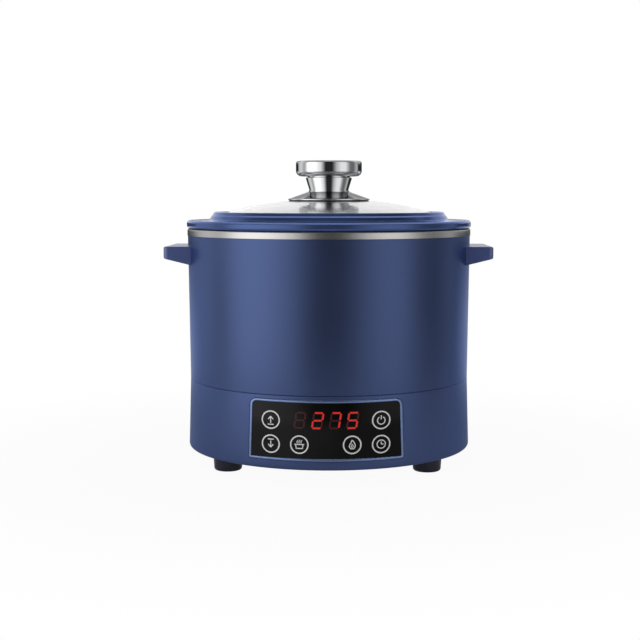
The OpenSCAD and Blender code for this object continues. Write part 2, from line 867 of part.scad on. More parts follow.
// Wall of the well, thin sheet that hangs from the shell's flange and keeps the pot off the wiring
module pot_well() {
    lip_out_r = body_r - band_t - 3 * fit;
    color("silver") turned([
        [well_in_r, z_rim + well_t],
        [well_in_r, z_well_floor + well_t],
        [well_out_r, z_well_floor + well_t],
        [well_out_r, z_rim],
        [lip_out_r, z_rim],
        [lip_out_r, z_rim + well_t]
    ]);
}

// Floor of the well, a flat ring welded under its wall
module well_floor() {
    color("silver") tube(well_bore_r, well_out_r, z_well_floor, z_well_floor + well_t);
}

// Shield whose rim lies on the base's spigot and whose middle stays close under the heater
module heat_shield() {
    color("lightgray") difference() {
        union() {
            tube(pan_r - shield_t, shield_r, z_shield, z_shield_top);
            tube(pan_r - shield_t, pan_r, min(z_shield, z_pan), max(z_shield_top, z_pan_top));
            translate([0, 0, z_pan]) cylinder(r = pan_r, h = shield_t);
        }
        translate([0, 0, z_pan - 1]) cylinder(r = bush_r + fit, h = shield_t + 2);
        around(probe_offset, [probe_angle]) translate([0, 0, z_pan - 1])
            cylinder(r = probe_stem_r + running, h = shield_t + 2, $fn = fine);
        around(element_ring_r, element_ends()) translate([0, 0, z_pan - 1])
            cylinder(r = element_r + 2, h = shield_t + 2, $fn = fine);
    }
}

function element_ends() = [90 - element_gap / 2, 90 + element_gap / 2];

// Cast plate with a groove underneath that the heating tube lies in
module heater_plate() {
    groove_r = element_r + fit;
    color("gainsboro") difference() {
        turned([
            [heater_bore / 2, z_heater],
            [heater_r, z_heater, 1.5],
            [heater_r, z_heater_top, 1.5],
            [heater_bore / 2, z_heater_top]
        ]);
        rotate_extrude() translate([element_ring_r, z_element]) circle(r = groove_r, $fn = fine);
    }
}

// Heating tube, an open ring whose ends turn down to the terminals
module heating_element() {
    color("dimgray") {
        rotate(90 + element_gap / 2) rotate_extrude(angle = 360 - element_gap)
            translate([element_ring_r, z_element]) circle(r = element_r, $fn = fine);
        around(element_ring_r, element_ends()) translate([0, 0, z_element]) {
            sphere(r = element_r, $fn = fine);
            translate([0, 0, -element_drop]) cylinder(r = element_r, h = element_drop, $fn = fine);
        }
    }
}

module heater_posts() {
    color("silver") around(post_ring_d / 2, [30, 150, 270]) translate([0, 0, z_pan_top])
        cylinder(r = post_r, h = z_heater - z_pan_top, $fn = fine);
}

// Thermal fuse held against the underside of the heater plate by its own clip
module thermal_fuse() {
    fuse_r = 3;
    fuse_l = 16;
    fuse_x = (heater_bore / 2 + element_ring_r - element_r) / 2;
    color("tan") around(fuse_x, [210]) {
        rod_y(fuse_r, -fuse_l / 2, fuse_l / 2, 0, z_heater - fuse_r - fit);
        block([2 * fuse_r + 3, 5, fuse_r], [0, 0, z_heater - fuse_r]);
    }
}

// Sprung probe that presses on the underside of the pot
module sensor_probe() {
    z_button = z_under - seat - probe_cap_t;
    color("silver") around(probe_offset, [probe_angle]) turned([
        [0, z_probe_stop],
        [probe_stop_r, z_probe_stop],
        [probe_stop_r, z_probe_stop + probe_stop_t],
        [probe_stem_r, z_probe_stop + probe_stop_t],
        [probe_stem_r, z_button],
        [probe_r, z_button],
        [probe_r, z_button + probe_cap_t, 0.8],
        [0, z_button + probe_cap_t]
    ]);
}

// Coil spring between the shield and the probe's button
module sensor_spring() {
    z0 = z_pan_top + fit;
    z1 = z_under - seat - probe_cap_t - fit;
    steps = spring_turns * spring_rings;
    rise = (z1 - z0 - 2 * spring_wire_r) / steps;
    points = [
        for (i = [0 : steps], k = [0 : spring_sides - 1])
            let (a = 360 * i / spring_rings, b = 360 * k / spring_sides)
            let (s = spring_r + spring_wire_r * cos(b))
            [s * cos(a), s * sin(a), z0 + spring_wire_r * (1 + sin(b)) + rise * i]
    ];
    last = steps * spring_sides;
    sides = [
        for (i = [0 : steps - 1], k = [0 : spring_sides - 1])
            let (n = (k + 1) % spring_sides, p = i * spring_sides, q = p + spring_sides)
            each [[p + k, q + k, q + n], [p + k, q + n, p + n]]
    ];
    ends = [
        for (k = [1 : spring_sides - 2]) each [[0, k, k + 1], [last, last + k + 1, last + k]]
    ];
    color("gray") around(probe_offset, [probe_angle]) polyhedron(points, concat(sides, ends));
}

module power_board() {
    color("darkgreen") difference() {
        block([power_l, power_w, board_t], [power_x, 0, z_power]);
        for (x = [-power_post_x, power_post_x], y = [-power_post_y, power_post_y])
            translate([power_x + x, y, z_power - 1])
                cylinder(r = control_screw_r + fit, h = board_t + 2, $fn = fine);
    }
}

module transformer() {
    color("goldenrod") block(transformer_size, [power_x + transformer_at.x, transformer_at.y, z_parts]);
}

module relay() {
    color("black") block(relay_size, [power_x + relay_at.x, relay_at.y, z_parts]);
}

module capacitor() {
    color("darkslateblue") translate([power_x + capacitor_at.x, capacitor_at.y, z_parts])
        cylinder(r = capacitor_r, h = capacitor_h, $fn = fine);
}

// Socket for a mains connector, let into the back of the base from inside
module power_inlet() {
    color("black") difference() {
        union() {
            translate([-inlet_out_w / 2, inlet_back, z_inlet - inlet_out_h / 2])
                cube([inlet_out_w, inlet_face - inlet_back, inlet_out_h]);
            translate([-inlet_half_w, inlet_seat - inlet_flange_t, z_inlet - inlet_half_h])
                cube([2 * inlet_half_w, inlet_flange_t, 2 * inlet_half_h]);
        }
        rotate([90, 0, 0]) translate([0, 0, -inlet_face - 1]) linear_extrude(inlet_depth + 1)
            polygon(inlet_mouth());
        for (p = pin_places) pin(p, fit / 2, inlet_back - 1, inlet_face);
    }
}

function inlet_mouth() =
    let (cut = 4, w = inlet_w / 2, low = z_inlet - inlet_h / 2, high = z_inlet + inlet_h / 2)
    [[-w, low], [w, low], [w, high - cut], [w - cut, high], [cut - w, high], [-w, high - cut]];

// Flat pin along Y at place p, thicker all round by the given margin
module pin(p, margin, y0, y1) {
    size = [pin_w + 2 * margin, y1 - y0, pin_h + 2 * margin];
    translate([p.x - size.x / 2, y0, p.y - size.z / 2]) cube(size);
}

module inlet_pins() {
    color("gold") for (p = pin_places) pin(p, 0, inlet_back - pin_tail, inlet_face - pin_sunk);
}

// Places of the bracket's posts round the motor's axis
module bracket_places() {
    for (a = bracket_post_angles) rotate(a) translate([bracket_r - bracket_post_r, 0, 0]) children();
}

module drive_motor() {
    color("silver") around(motor_x, [motor_angle]) difference() {
        turned([
            [0, z_motor],
            [motor_r, z_motor, 1],
            [motor_r, z_motor + motor_h, 1.5],
            [5, z_motor + motor_h],
            [5, z_motor + motor_h + 2],
            [0, z_motor + motor_h + 2]
        ]);
        translate([0, 0, z_motor - 1]) cylinder(r = shaft_r + running, h = shaft_in_motor + 2, $fn = fine);
    }
}

// Plate on three posts that carries the motor above its pinion
module motor_bracket() {
    color("lightgray") around(motor_x, [motor_angle]) difference() {
        union() {
            translate([0, 0, z_bracket]) cylinder(r = bracket_r, h = bracket_t);
            bracket_places() translate([0, 0, z_cover_top])
                cylinder(r = bracket_post_r, h = z_motor - z_cover_top, $fn = fine);
        }
        translate([0, 0, z_bracket - 1]) cylinder(r = shaft_r + 2, h = bracket_t + 2, $fn = fine);
        bracket_places() translate([0, 0, z_cover_top - 1])
            cylinder(r = control_screw_r + fit, h = 8, $fn = fine);
        translate([-motor_x, 0, z_bracket - 1])
            cylinder(r = tube_r + free + 1.5, h = bracket_t + 2);
    }
}

module bracket_screws() {
    color("silver") around(motor_x, [motor_angle]) bracket_places() translate([0, 0, z_cover])
        screw(2 * control_screw_r, cover_t + 5);
}

function involute(a) = tan(a) * 180 / PI - a;

// Half the angle that a tooth covers at radius r
function half_tooth(teeth, r) =
    let (base = pitch_r(teeth) * cos(pressure_angle))
    90 / teeth - gear_backlash / pitch_r(teeth) * 45 / PI
    + involute(pressure_angle) - involute(acos(min(1, base / r)));

// Outline of an involute gear with a tooth on the X axis
function gear_outline(teeth) =
    let (root = pitch_r(teeth) - 1.25 * gear_module, tip = pitch_r(teeth) + gear_module)
    let (low = max(root, pitch_r(teeth) * cos(pressure_angle)))
    let (flank = [for (i = [0 : flank_steps]) low + (tip - low) * i / flank_steps])
    let (foot = low > root ? [root] : [])
    let (rise = concat(foot, flank))
    let (count = len(rise) - 1)
    [for (k = [0 : teeth - 1]) each concat(
        [for (i = [0 : count]) polar(rise[i], 360 * k / teeth - half_tooth(teeth, max(low, rise[i])))],
        [for (i = [count : -1 : 0]) polar(rise[i], 360 * k / teeth + half_tooth(teeth, max(low, rise[i])))]
    )];

// Pinion and its shaft, which reaches up into the motor
module drive_pinion() {
    color("goldenrod") around(motor_x, [motor_angle]) {
        rotate(180 + 180 / pinion_teeth) translate([0, 0, z_gear]) linear_extrude(gear_t)
            polygon(gear_outline(pinion_teeth));
        translate([0, 0, z_gear - 0.5])
            cylinder(r = shaft_r, h = z_motor + shaft_in_motor - z_gear, $fn = fine);
    }
}

module screw_gear() {
    color("ivory") difference() {
        union() {
            rotate(motor_angle) translate([0, 0, z_gear]) linear_extrude(gear_t)
                polygon(gear_outline(gear_teeth));
            translate([0, 0, z_gear]) cylinder(r = screw_r + 4, h = z_gear_hub - z_gear);
        }
        translate([0, 0, z_gear - 1]) cylinder(r = screw_r + running / 2, h = gear_t + 3);
        around((pitch_r(gear_teeth) + screw_r) / 2 + 1, [30 : 60 : 330]) translate([0, 0, z_gear - 1])
            cylinder(r = gear_hole_r, h = gear_t + 2, $fn = fine);
    }
}

module lead_screw() {
    color("silver") turned([
        [0, z_screw],
        [screw_r, z_screw, 0.6],
        [screw_r, z_screw_top, 1],
        [0, z_screw_top]
    ]);
}

module lower_bush() {
    color("peru") turned([
        [screw_r + running, z_screw - fit],
        [lower_bush_r, z_screw - fit],
        [lower_bush_r, z_hub],
        [lower_bush_r + 2, z_hub],
        [lower_bush_r + 2, z_hub + lower_flange_t],
        [screw_r + running, z_hub + lower_flange_t]
    ]);
}

// Round bar with the flat that keeps the lift tube from turning
module flatted(r, flat_x, z0, z1) {
    difference() {
        translate([0, 0, z0]) cylinder(r = r, h = z1 - z0);
        translate([flat_x, -r, z0 - 1]) cube([r, 2 * r, z1 - z0 + 2]);
    }
}

// Flanged bush on the shield: the lift tube slides in it, and the pot's chimney stands round it
module guide_bush() {
    color("ivory") difference() {
        turned([
            [0, z_bush],
            [bush_r, z_bush, 1],
            [bush_r, z_pan_top],
            [bush_flange_r, z_pan_top],
            [bush_flange_r, z_pan_top + bush_flange_t, 1],
            [bush_r, z_pan_top + bush_flange_t],
            [bush_r, z_bush_top, 1.5],
            [0, z_bush_top]
        ]);
        flatted(tube_r + running, tube_r - tube_flat + running, z_bush - 1, z_bush_top + 1);
    }
}

module lift_tube() {
    color("silver") difference() {
        flatted(tube_r, tube_r - tube_flat, z_tube, z_tube_top - tip_h);
        translate([0, 0, z_tube - 1]) cylinder(r = tube_in_r, h = z_tube_top - z_tube);
    }
}

module lift_nut() {
    color("goldenrod") tube(screw_r + running, tube_in_r - running / 2, z_tube, z_tube + nut_l);
}

// Cap on the lift tube that pushes on the basket
module push_tip() {
    color("ivory") turned([
        [0, z_tube_top - tip_h - 8],
        [tube_in_r - running, z_tube_top - tip_h - 8, 0.6],
        [tube_in_r - running, z_tube_top - tip_h],
        [tube_r, z_tube_top - tip_h],
        [tube_r, z_tube_top, 1.5],
        [0, z_tube_top]
    ]);
}

// Pot with a rolled rim, whose skirt is the polished band, and a hole for the chimney
module inner_pot() {
    color("gainsboro") turned([
        [chimney_r, z_floor],
        [chimney_r, z_under],
        [pot_out_r, z_under, pot_round + pot_t],
        [pot_out_r, z_mouth - pot_t, 1.5],
        [body_r - band_t, z_mouth - pot_t, 0.6],
        [body_r - band_t, z_rim],
        [body_r, z_rim],
        [body_r, z_mouth, 1.5],
        [pot_r, z_mouth, 2.7],
        [pot_r, z_floor, pot_round]
    ]);
}

// Tube welded into the pot's floor, which keeps the broth away from the lift tube
module pot_chimney() {
    color("gainsboro") turned([
        [chimney_in_r, z_under],
        [chimney_r, z_under],
        [chimney_r, z_floor],
        [chimney_r + chimney_foot_w, z_floor],
        [chimney_r + chimney_foot_w, z_floor + pot_t],
        [chimney_r, z_floor + pot_t],
        [chimney_r, z_chimney],
        [chimney_in_r, z_chimney]
    ]);
}

// Wall of the basket, with a rolled edge at the top and a lip that the floor hangs from
module lift_basket() {
    inner_r = basket_r - basket_t;
    lip_in_r = basket_floor_r - basket_lip_w;
    color("silver") {
        turned([
            [lip_in_r, z_plate],
            [basket_r, z_plate, basket_round + basket_t],
            [basket_r, z_basket_top],
            [inner_r, z_basket_top],
            [inner_r, z_plate + basket_t, basket_round],
            [lip_in_r, z_plate + basket_t]
        ]);
        rotate_extrude() translate([basket_r - basket_t / 2, z_basket_top])
            circle(r = basket_bead_r, $fn = fine);
    }
}

// Perforated floor of the basket
module basket_floor() {
    color("silver") difference() {
        tube(sleeve_in_r, basket_floor_r, z_basket, z_plate);
        for (r = [drain_first_r : drain_pitch : drain_last_r])
            for (a = [0 : 360 / floor(r * 2 * PI / drain_pitch) : 359.9]) rotate(a)
                translate([r, 0, z_basket - 1]) cylinder(r = drain_d / 2, h = basket_t + 2, $fn = fine);
    }
}

// Studs that hold the basket's floor above the pot's floor
module basket_feet() {
    color("silver") around(basket_foot_ring_r, [30, 150, 270]) turned([
        [0, z_floor],
        [basket_foot_d / 2, z_floor, 1],
        [basket_foot_d / 2, z_basket],
        [0, z_basket]
    ]);
}

// Sleeve over the chimney, closed at the top, where the lift tube pushes
module basket_sleeve() {
    color("silver") turned([
        [0, z_cap_under],
        [sleeve_in_r, z_cap_under],
        [sleeve_in_r, z_plate],
        [sleeve_flange_r, z_plate],
        [sleeve_flange_r, z_plate + basket_t],
        [sleeve_r, z_plate + basket_t, 1.5],
        [sleeve_r, z_cap, 2],
        [0, z_cap]
    ]);
}

// Ring of the lid: bead, trough, raised middle with a lip over the glass, and a skirt in the pot
module lid_ring() {
    trough_r = lid_r - 5.8;
    color("midnightblue") turned([
        [plug_r, z_lid],
        [lid_r, z_lid, bead_under_r],
        [lid_r, z_lid + bead_h, bead_top_r],
        [lid_r - 4.5, z_lid + bead_h, 0.8],
        [trough_r, z_lid + trough_h, 0.8],
        [ring_r + ring_foot_w, z_lid + trough_h, ring_foot_r],
        [ring_r, z_ring_top, ring_top_r],
        [lip_r, z_ring_top, 0.4],
        [lip_r, glass_top(lip_r) + fit],
        [seal_out_r + fit, glass_top(glass_edge_r) + fit],
        [seal_out_r + fit, z_seal],
        [hold_in_r, z_seal],
        [hold_in_r, z_seal - 2, 1],
        [plug_r - plug_t, z_lid + 1.6, 2],
        [plug_r - plug_t, z_lid - plug_h],
        [plug_r, z_lid - plug_h, 1]
    ]);
}

// Seal under and round the edge of the glass
module lid_seal() {
    z_inner = glass_top(seal_in_r) - glass_t - fit;
    color("whitesmoke") turned([
        [seal_in_r, z_seal],
        [seal_out_r, z_seal],
        [seal_out_r, glass_top(glass_edge_r) - fit],
        [seal_out_r - seal_t, glass_top(glass_edge_r) - fit],
        [seal_out_r - seal_t, z_seal + seal_t],
        [seal_in_r, z_inner]
    ]);
}

// Shallow dome, with a hole for the knob's bolt
module lid_glass() {
    rings = 14;
    radii = [for (i = [0 : rings]) glass_bore_r + (glass_edge_r - glass_bore_r) * i / rings];
    outside = [for (r = radii) [r, glass_top(r)]];
    inside = [for (i = [rings : -1 : 0]) [radii[i], glass_top(radii[i]) - glass_t]];
    color("lightcyan", 0.4) rotate_extrude() polygon(concat(outside, inside));
}

// Polished cone between the neck and the glass
module knob_plate() {
    color("silver") turned([
        [plate_r - gasket_w, z_knob_plate],
        [plate_r, z_knob_plate, 0.4],
        [plate_r, z_knob_plate + 1, 0.4],
        [neck_foot_d / 2, z_neck],
        [bolt_r + fit, z_neck],
        [bolt_r + fit, z_neck - plate_t],
        [neck_foot_d / 2 - 1, z_neck - plate_t]
    ]);
}

module knob_gasket() {
    gasket_in_r = plate_r - gasket_w;
    gasket_out_r = plate_r - 1;
    color("black") turned([
        [gasket_in_r, glass_top(gasket_in_r) + 0.05],
        [gasket_out_r, glass_top(gasket_out_r) + 0.05],
        [gasket_out_r, z_knob_plate],
        [gasket_in_r, z_knob_plate]
    ]);
}

// Neck of the knob, with a spigot that the cap is pressed on and a hole for the bolt
module knob_stem() {
    hole_h = 10;
    z_spigot = z_knob + neck_spigot_h;
    color("silver") turned([
        [bolt_r + running, z_neck],
        [neck_foot_d / 2, z_neck, 0.8],
        [neck_top_d / 2, z_knob - 1.6, 0.8],
        [neck_top_d / 2 - 2, z_knob - 0.6],
        [neck_top_d / 2 - 2, z_knob],
        [neck_spigot_r, z_knob],
        [neck_spigot_r, z_spigot, 1],
        [0, z_spigot],
        [0, z_neck + hole_h],
        [bolt_r + running, z_neck + hole_h]
    ]);
}

module knob_cap() {
    knob_r = knob_d / 2;
    color("silver") turned([
        [neck_spigot_r + running, z_knob],
        [knob_r, z_knob, knob_under_r],
        [knob_r, z_top, knob_top_r],
        [0, z_top],
        [0, z_knob + neck_spigot_h + fit],
        [neck_spigot_r + running, z_knob + neck_spigot_h + fit]
    ]);
}

module knob_washer() {
    color("whitesmoke") tube(bolt_r + fit, washer_r, z_washer, z_washer + washer_t);
}

module knob_bolt() {
    color("silver") {
        translate([0, 0, z_bolt_head]) cylinder(r = bolt_head_r, h = bolt_head_t, $fn = 6);
        translate([0, 0, z_bolt_head]) cylinder(r = bolt_r, h = z_neck + 8 - z_bolt_head, $fn = fine);
    }
}

outer_shell();
base_housing();
bottom_cover();
feet();
cover_screws();
left_handle();
right_handle();
handle_screws();
pot_well();
well_floor();
heat_shield();
heater_plate();
heating_element();
heater_posts();
thermal_fuse();
sensor_probe();
sensor_spring();
panel_bezel();
panel_window();
control_board();
board_screws();
display_module();
touch_pads();
power_board();
transformer();
relay();
capacitor();
power_inlet();
inlet_pins();
drive_motor();
motor_bracket();
bracket_screws();
drive_pinion();
screw_gear();
lead_screw();
lower_bush();
guide_bush();
lift_tube();
lift_nut();
push_tip();
inner_pot();
pot_chimney();
lift_basket();
basket_floor();
basket_feet();
basket_sleeve();
lid_ring();
lid_glass();
lid_seal();
knob_plate();
knob_stem();
knob_cap();
knob_gasket();
knob_washer();
knob_bolt();
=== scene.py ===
import math

import bmesh
import bpy
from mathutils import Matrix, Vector


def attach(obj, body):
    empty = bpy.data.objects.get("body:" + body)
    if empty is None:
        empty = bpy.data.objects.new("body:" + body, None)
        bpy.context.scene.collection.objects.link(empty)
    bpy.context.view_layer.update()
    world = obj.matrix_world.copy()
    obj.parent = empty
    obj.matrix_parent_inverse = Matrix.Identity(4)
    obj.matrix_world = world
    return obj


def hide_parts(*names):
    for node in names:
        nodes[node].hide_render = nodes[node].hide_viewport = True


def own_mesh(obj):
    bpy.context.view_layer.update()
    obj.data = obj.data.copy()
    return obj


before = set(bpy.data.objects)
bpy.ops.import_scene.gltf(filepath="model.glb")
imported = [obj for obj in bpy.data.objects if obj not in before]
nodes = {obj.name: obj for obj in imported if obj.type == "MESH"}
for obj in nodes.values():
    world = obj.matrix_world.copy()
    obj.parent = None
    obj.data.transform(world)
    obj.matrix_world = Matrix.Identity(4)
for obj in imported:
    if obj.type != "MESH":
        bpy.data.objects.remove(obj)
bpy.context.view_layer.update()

mm = 0.001
print("frame loaded:", len(nodes), "nodes")


# small tools for outlines and meshes, in millimetres

def cornerArc(before, at, after, radius, steps):
    if radius <= 0:
        return [at]
    p, q, s = Vector(before), Vector(at), Vector(after)
    a, b = (p - q).normalized(), (s - q).normalized()
    half = math.acos(max(-1, min(1, a.dot(b)))) / 2
    centre = q + (a + b).normalized() * radius / math.sin(half)
    start = q + a * radius / math.tan(half) - centre
    end = q + b * radius / math.tan(half) - centre
    first = math.atan2(start.y, start.x)
    swing = math.atan2(start.x * end.y - start.y * end.x, start.dot(end))
    turn = [first + swing * i / steps for i in range(steps + 1)]
    return [(centre.x + radius * math.cos(t), centre.y + radius * math.sin(t)) for t in turn]


def roundedOutline(corners, steps=8):
    count = len(corners)
    outline = []
    for i, corner in enumerate(corners):
        radius = corner[2] if len(corner) > 2 else 0
        before, after = corners[i - 1][:2], corners[(i + 1) % count][:2]
        outline += cornerArc(before, corner[:2], after, radius, steps)
    return outline


def finishMesh(mesh, sharpAngle=32, merge=1e-7, turn=True):
    work = bmesh.new()
    work.from_mesh(mesh)
    bmesh.ops.remove_doubles(work, verts=work.verts, dist=merge)
    if turn:
        bmesh.ops.recalc_face_normals(work, faces=work.faces)
    work.to_mesh(mesh)
    work.free()
    mesh.shade_smooth()
    mesh.set_sharp_from_angle(angle=math.radians(sharpAngle))
    return mesh


def workMesh(name, work):
    mesh = bpy.data.meshes.new(name)
    work.to_mesh(mesh)
    work.free()
    return finishMesh(mesh)


def pointMesh(name, points, faces):
    mesh = bpy.data.meshes.new(name)
    mesh.from_pydata(points, [], faces)
    return finishMesh(mesh)


def addPiece(name, mesh, body, material, replaced=()):
    piece = bpy.data.objects.new(name, mesh)
    bpy.context.scene.collection.objects.link(piece)
    mesh.materials.clear()
    mesh.materials.append(material)
    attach(piece, body)
    if replaced:
        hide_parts(*replaced)
    return piece


def turnedMesh(name, corners, around=192, steps=8, centre=(0, 0)):
    outline = roundedOutline(corners, steps)
    points, faces, rings = [], [], []
    for radius, height in outline:
        if radius < 1e-6:
            rings.append([len(points)] * around)
            points.append((centre[0] * mm, centre[1] * mm, height * mm))
            continue
        rings.append(list(range(len(points), len(points) + around)))
        for k in range(around):
            turn = 2 * math.pi * k / around
            x, y = centre[0] + radius * math.cos(turn), centre[1] + radius * math.sin(turn)
            points.append((x * mm, y * mm, height * mm))
    for i, ring in enumerate(rings):
        follow = rings[(i + 1) % len(rings)]
        for k in range(around):
            n = (k + 1) % around
            loop = []
            for v in (ring[k], ring[n], follow[n], follow[k]):
                if v not in loop:
                    loop.append(v)
            if len(loop) > 2:
                faces.append(loop)
    return pointMesh(name, points, faces)


# materials

def mathNode(tree, operation, first, second=0.0):
    made = tree.nodes.new("ShaderNodeMath")
    made.operation = operation
    for socket, value in zip(made.inputs, (first, second)):
        if isinstance(value, (int, float)):
            socket.default_value = value
        else:
            tree.links.new(value, socket)
    return made.outputs[0]


def rangeNode(tree, value, start, end, low, high, easing="LINEAR"):
    made = tree.nodes.new("ShaderNodeMapRange")
    made.interpolation_type = easing
    tree.links.new(value, made.inputs[0])
    for i, number in enumerate((start, end, low, high)):
        made.inputs[i + 1].default_value = number
    return made.outputs[0]


class Shader:
    def __init__(self, name, colour, roughness, metallic=0.0):
        self.material = bpy.data.materials.new(name)
        self.material.use_nodes = True
        self.tree = self.material.node_tree
        self.bsdf = self.tree.nodes["Principled BSDF"]
        self.set(**{"Base Color": (*colour, 1), "Roughness": roughness, "Metallic": metallic})
        self.place = self.node("ShaderNodeTexCoord").outputs["Object"]

    def set(self, **values):
        for name, value in values.items():
            self.bsdf.inputs[name].default_value = value

    def node(self, kind, **values):
        made = self.tree.nodes.new(kind)
        for name, value in values.items():
            setattr(made, name, value)
        return made

    def link(self, start, end):
        self.tree.links.new(start, end)

    def math(self, operation, first, second=0.0):
        return mathNode(self.tree, operation, first, second)

    def noise(self, scale, detail=3.0, stretch=(1, 1, 1), vector=None):
        spread = self.node("ShaderNodeMapping")
        spread.inputs["Scale"].default_value = stretch
        self.link(vector or self.place, spread.inputs["Vector"])
        made = self.node("ShaderNodeTexNoise")
        made.inputs["Scale"].default_value = scale
        made.inputs["Detail"].default_value = detail
        self.link(spread.outputs[0], made.inputs["Vector"])
        return made.outputs[0]

    def tint(self, value, low, high, start=0.3, end=0.7):
        made = self.node("ShaderNodeValToRGB")
        made.color_ramp.elements[0].color = (*low, 1)
        made.color_ramp.elements[1].color = (*high, 1)
        made.color_ramp.elements[0].position = start
        made.color_ramp.elements[1].position = end
        self.link(value, made.inputs[0])
        self.link(made.outputs[0], self.bsdf.inputs["Base Color"])

    def rough(self, value, low, high, start=0.3, end=0.7):
        self.link(rangeNode(self.tree, value, start, end, low, high), self.bsdf.inputs["Roughness"])

    def bump(self, value, depth, strength=0.2):
        made = self.node("ShaderNodeBump")
        made.inputs["Strength"].default_value = strength
        made.inputs["Distance"].default_value = depth * mm
        self.link(value, made.inputs["Height"])
        self.link(made.outputs[0], self.bsdf.inputs["Normal"])

    def rings(self):
        # radius and height, so that a pattern on them runs round the Z axis
        parts = self.node("ShaderNodeSeparateXYZ")
        self.link(self.place, parts.inputs[0])
        x, y, z = parts.outputs
        square = self.math("ADD", self.math("MULTIPLY", x, x), self.math("MULTIPLY", y, y))
        joined = self.node("ShaderNodeCombineXYZ")
        self.link(self.math("SQRT", square), joined.inputs[0])
        self.link(z, joined.inputs[2])
        return joined.outputs[0]


def satinPaint(name, dark, light, roughness, metallic, shine=0.35, shineTint=(0.55, 0.66, 1.0)):
    paint = Shader(name, light, roughness, metallic)
    cloud = paint.noise(scale=9, detail=4)
    paint.tint(cloud, dark, light)
    paint.rough(cloud, roughness - 0.03, roughness + 0.03)
    paint.bump(paint.noise(scale=1500, detail=2), depth=0.05, strength=0.10)
    paint.set(**{"Specular Tint": (*shineTint, 1), "Specular IOR Level": shine})
    return paint.material


def spunSteel(name, dark, light, roughness, lines=1400, edge=1.0):
    steel = Shader(name, light, roughness, 1.0)
    brush = steel.noise(lines, detail=2, vector=steel.rings())
    steel.tint(brush, dark, light, start=0.25, end=0.75)
    steel.rough(brush, roughness * 0.8, roughness * 1.25)
    steel.bump(brush, depth=0.02, strength=0.12)
    steel.set(**{"Specular Tint": (edge, edge, edge, 1)})
    return steel.material


def rolledSteel(name, dark, light, roughness, stretch=(1, 60, 60)):
    steel = Shader(name, light, roughness, 1.0)
    grain = steel.noise(scale=30, detail=3, stretch=stretch)
    steel.tint(grain, dark, light)
    steel.rough(grain, roughness * 0.8, roughness * 1.2)
    return steel.material


def polishedMetal(name, colour, roughness, edge=1.0, lean=1.0):
    metal = Shader(name, colour, roughness, 1.0)
    haze = metal.noise(scale=40, detail=4)
    metal.rough(haze, roughness * 0.6, roughness * 1.5)
    metal.tint(haze, [c * 0.96 for c in colour], colour)
    metal.set(**{"Specular Tint": (edge, edge, edge, 1)})
    if lean < 1:  # a tapered face that mirrors the room as an upright one does
        facing = metal.node("ShaderNodeVectorMath", operation="MULTIPLY")
        metal.link(metal.node("ShaderNodeNewGeometry").outputs["Normal"], facing.inputs[0])
        facing.inputs[1].default_value = (1, 1, lean)
        level = metal.node("ShaderNodeVectorMath", operation="NORMALIZE")
        metal.link(facing.outputs[0], level.inputs[0])
        metal.link(level.outputs[0], metal.bsdf.inputs["Normal"])
    return metal.material


def mouldedPlastic(name, dark, light, roughness, grainScale=900, grainDepth=0.04, metallic=0.0):
    plastic = Shader(name, light, roughness, metallic)
    plastic.tint(plastic.noise(scale=25, detail=4), dark, light)
    grain = plastic.noise(grainScale, detail=2)
    plastic.rough(grain, roughness * 0.85, min(1, roughness * 1.15))
    plastic.bump(grain, grainDepth, strength=0.2)
    return plastic.material


finish = {
    "navyDark": (0.081, 0.117, 0.262),
    "navyLight": (0.088, 0.127, 0.285),
    "baseDark": (0.086, 0.125, 0.284),
    "baseLight": (0.094, 0.136, 0.310),
    "lidDark": (0.088, 0.138, 0.336),
    "lidLight": (0.097, 0.152, 0.368),
    "gripDark": (0.122, 0.173, 0.440),
    "gripLight": (0.133, 0.190, 0.477),
    "frameBlue": (0.27, 0.37, 0.66),
    "chrome": (0.86, 0.87, 0.88),
}
navyShell = satinPaint("navy_satin_shell", finish["navyDark"], finish["navyLight"], roughness=0.34, metallic=0.80)
navyBase = satinPaint("navy_satin_base", finish["baseDark"], finish["baseLight"], roughness=0.36, metallic=0.75)
navyLid = satinPaint("navy_gloss_lid", finish["lidDark"], finish["lidLight"], roughness=0.14, metallic=0.50, shine=0.20)
navyGrip = satinPaint("navy_grip", finish["gripDark"], finish["gripLight"], roughness=0.30, metallic=0.10, shine=0.9,
                      shineTint=(1, 1, 1))
frameBlue = satinPaint("pale_blue_frame", [c * 0.94 for c in finish["frameBlue"]], finish["frameBlue"],
                       roughness=0.25, metallic=0.8)
steelBand = spunSteel("spun_steel", (0.62, 0.61, 0.60), (0.76, 0.755, 0.74), roughness=0.28, edge=0.2)
steelSheet = spunSteel("drawn_steel", (0.55, 0.56, 0.57), (0.70, 0.71, 0.72), roughness=0.28, lines=900)
steelRolled = rolledSteel("rolled_steel", (0.48, 0.49, 0.51), (0.64, 0.65, 0.67), roughness=0.34)
zincPlate = rolledSteel("zinc_plate", (0.50, 0.51, 0.54), (0.66, 0.67, 0.70), roughness=0.30, stretch=(1, 1, 1))
copperWinding = rolledSteel("varnished_winding", (0.30, 0.12, 0.03), (0.52, 0.24, 0.07), roughness=0.30,
                            stretch=(1, 1, 120))
mirrorChrome = polishedMetal("mirror_chrome", finish["chrome"], roughness=0.05, edge=0.1)
neckChrome = polishedMetal("neck_chrome", finish["chrome"], roughness=0.05, edge=0.1, lean=0.1)
coneChrome = polishedMetal("cone_chrome", finish["chrome"], roughness=0.06, edge=0.28)
yellowBrass = polishedMetal("machined_brass", (0.72, 0.50, 0.20), roughness=0.22)
castMetal = mouldedPlastic("cast_aluminium", (0.50, 0.51, 0.52), (0.64, 0.65, 0.66), roughness=0.45, grainScale=500,
                           grainDepth=0.12, metallic=1.0)
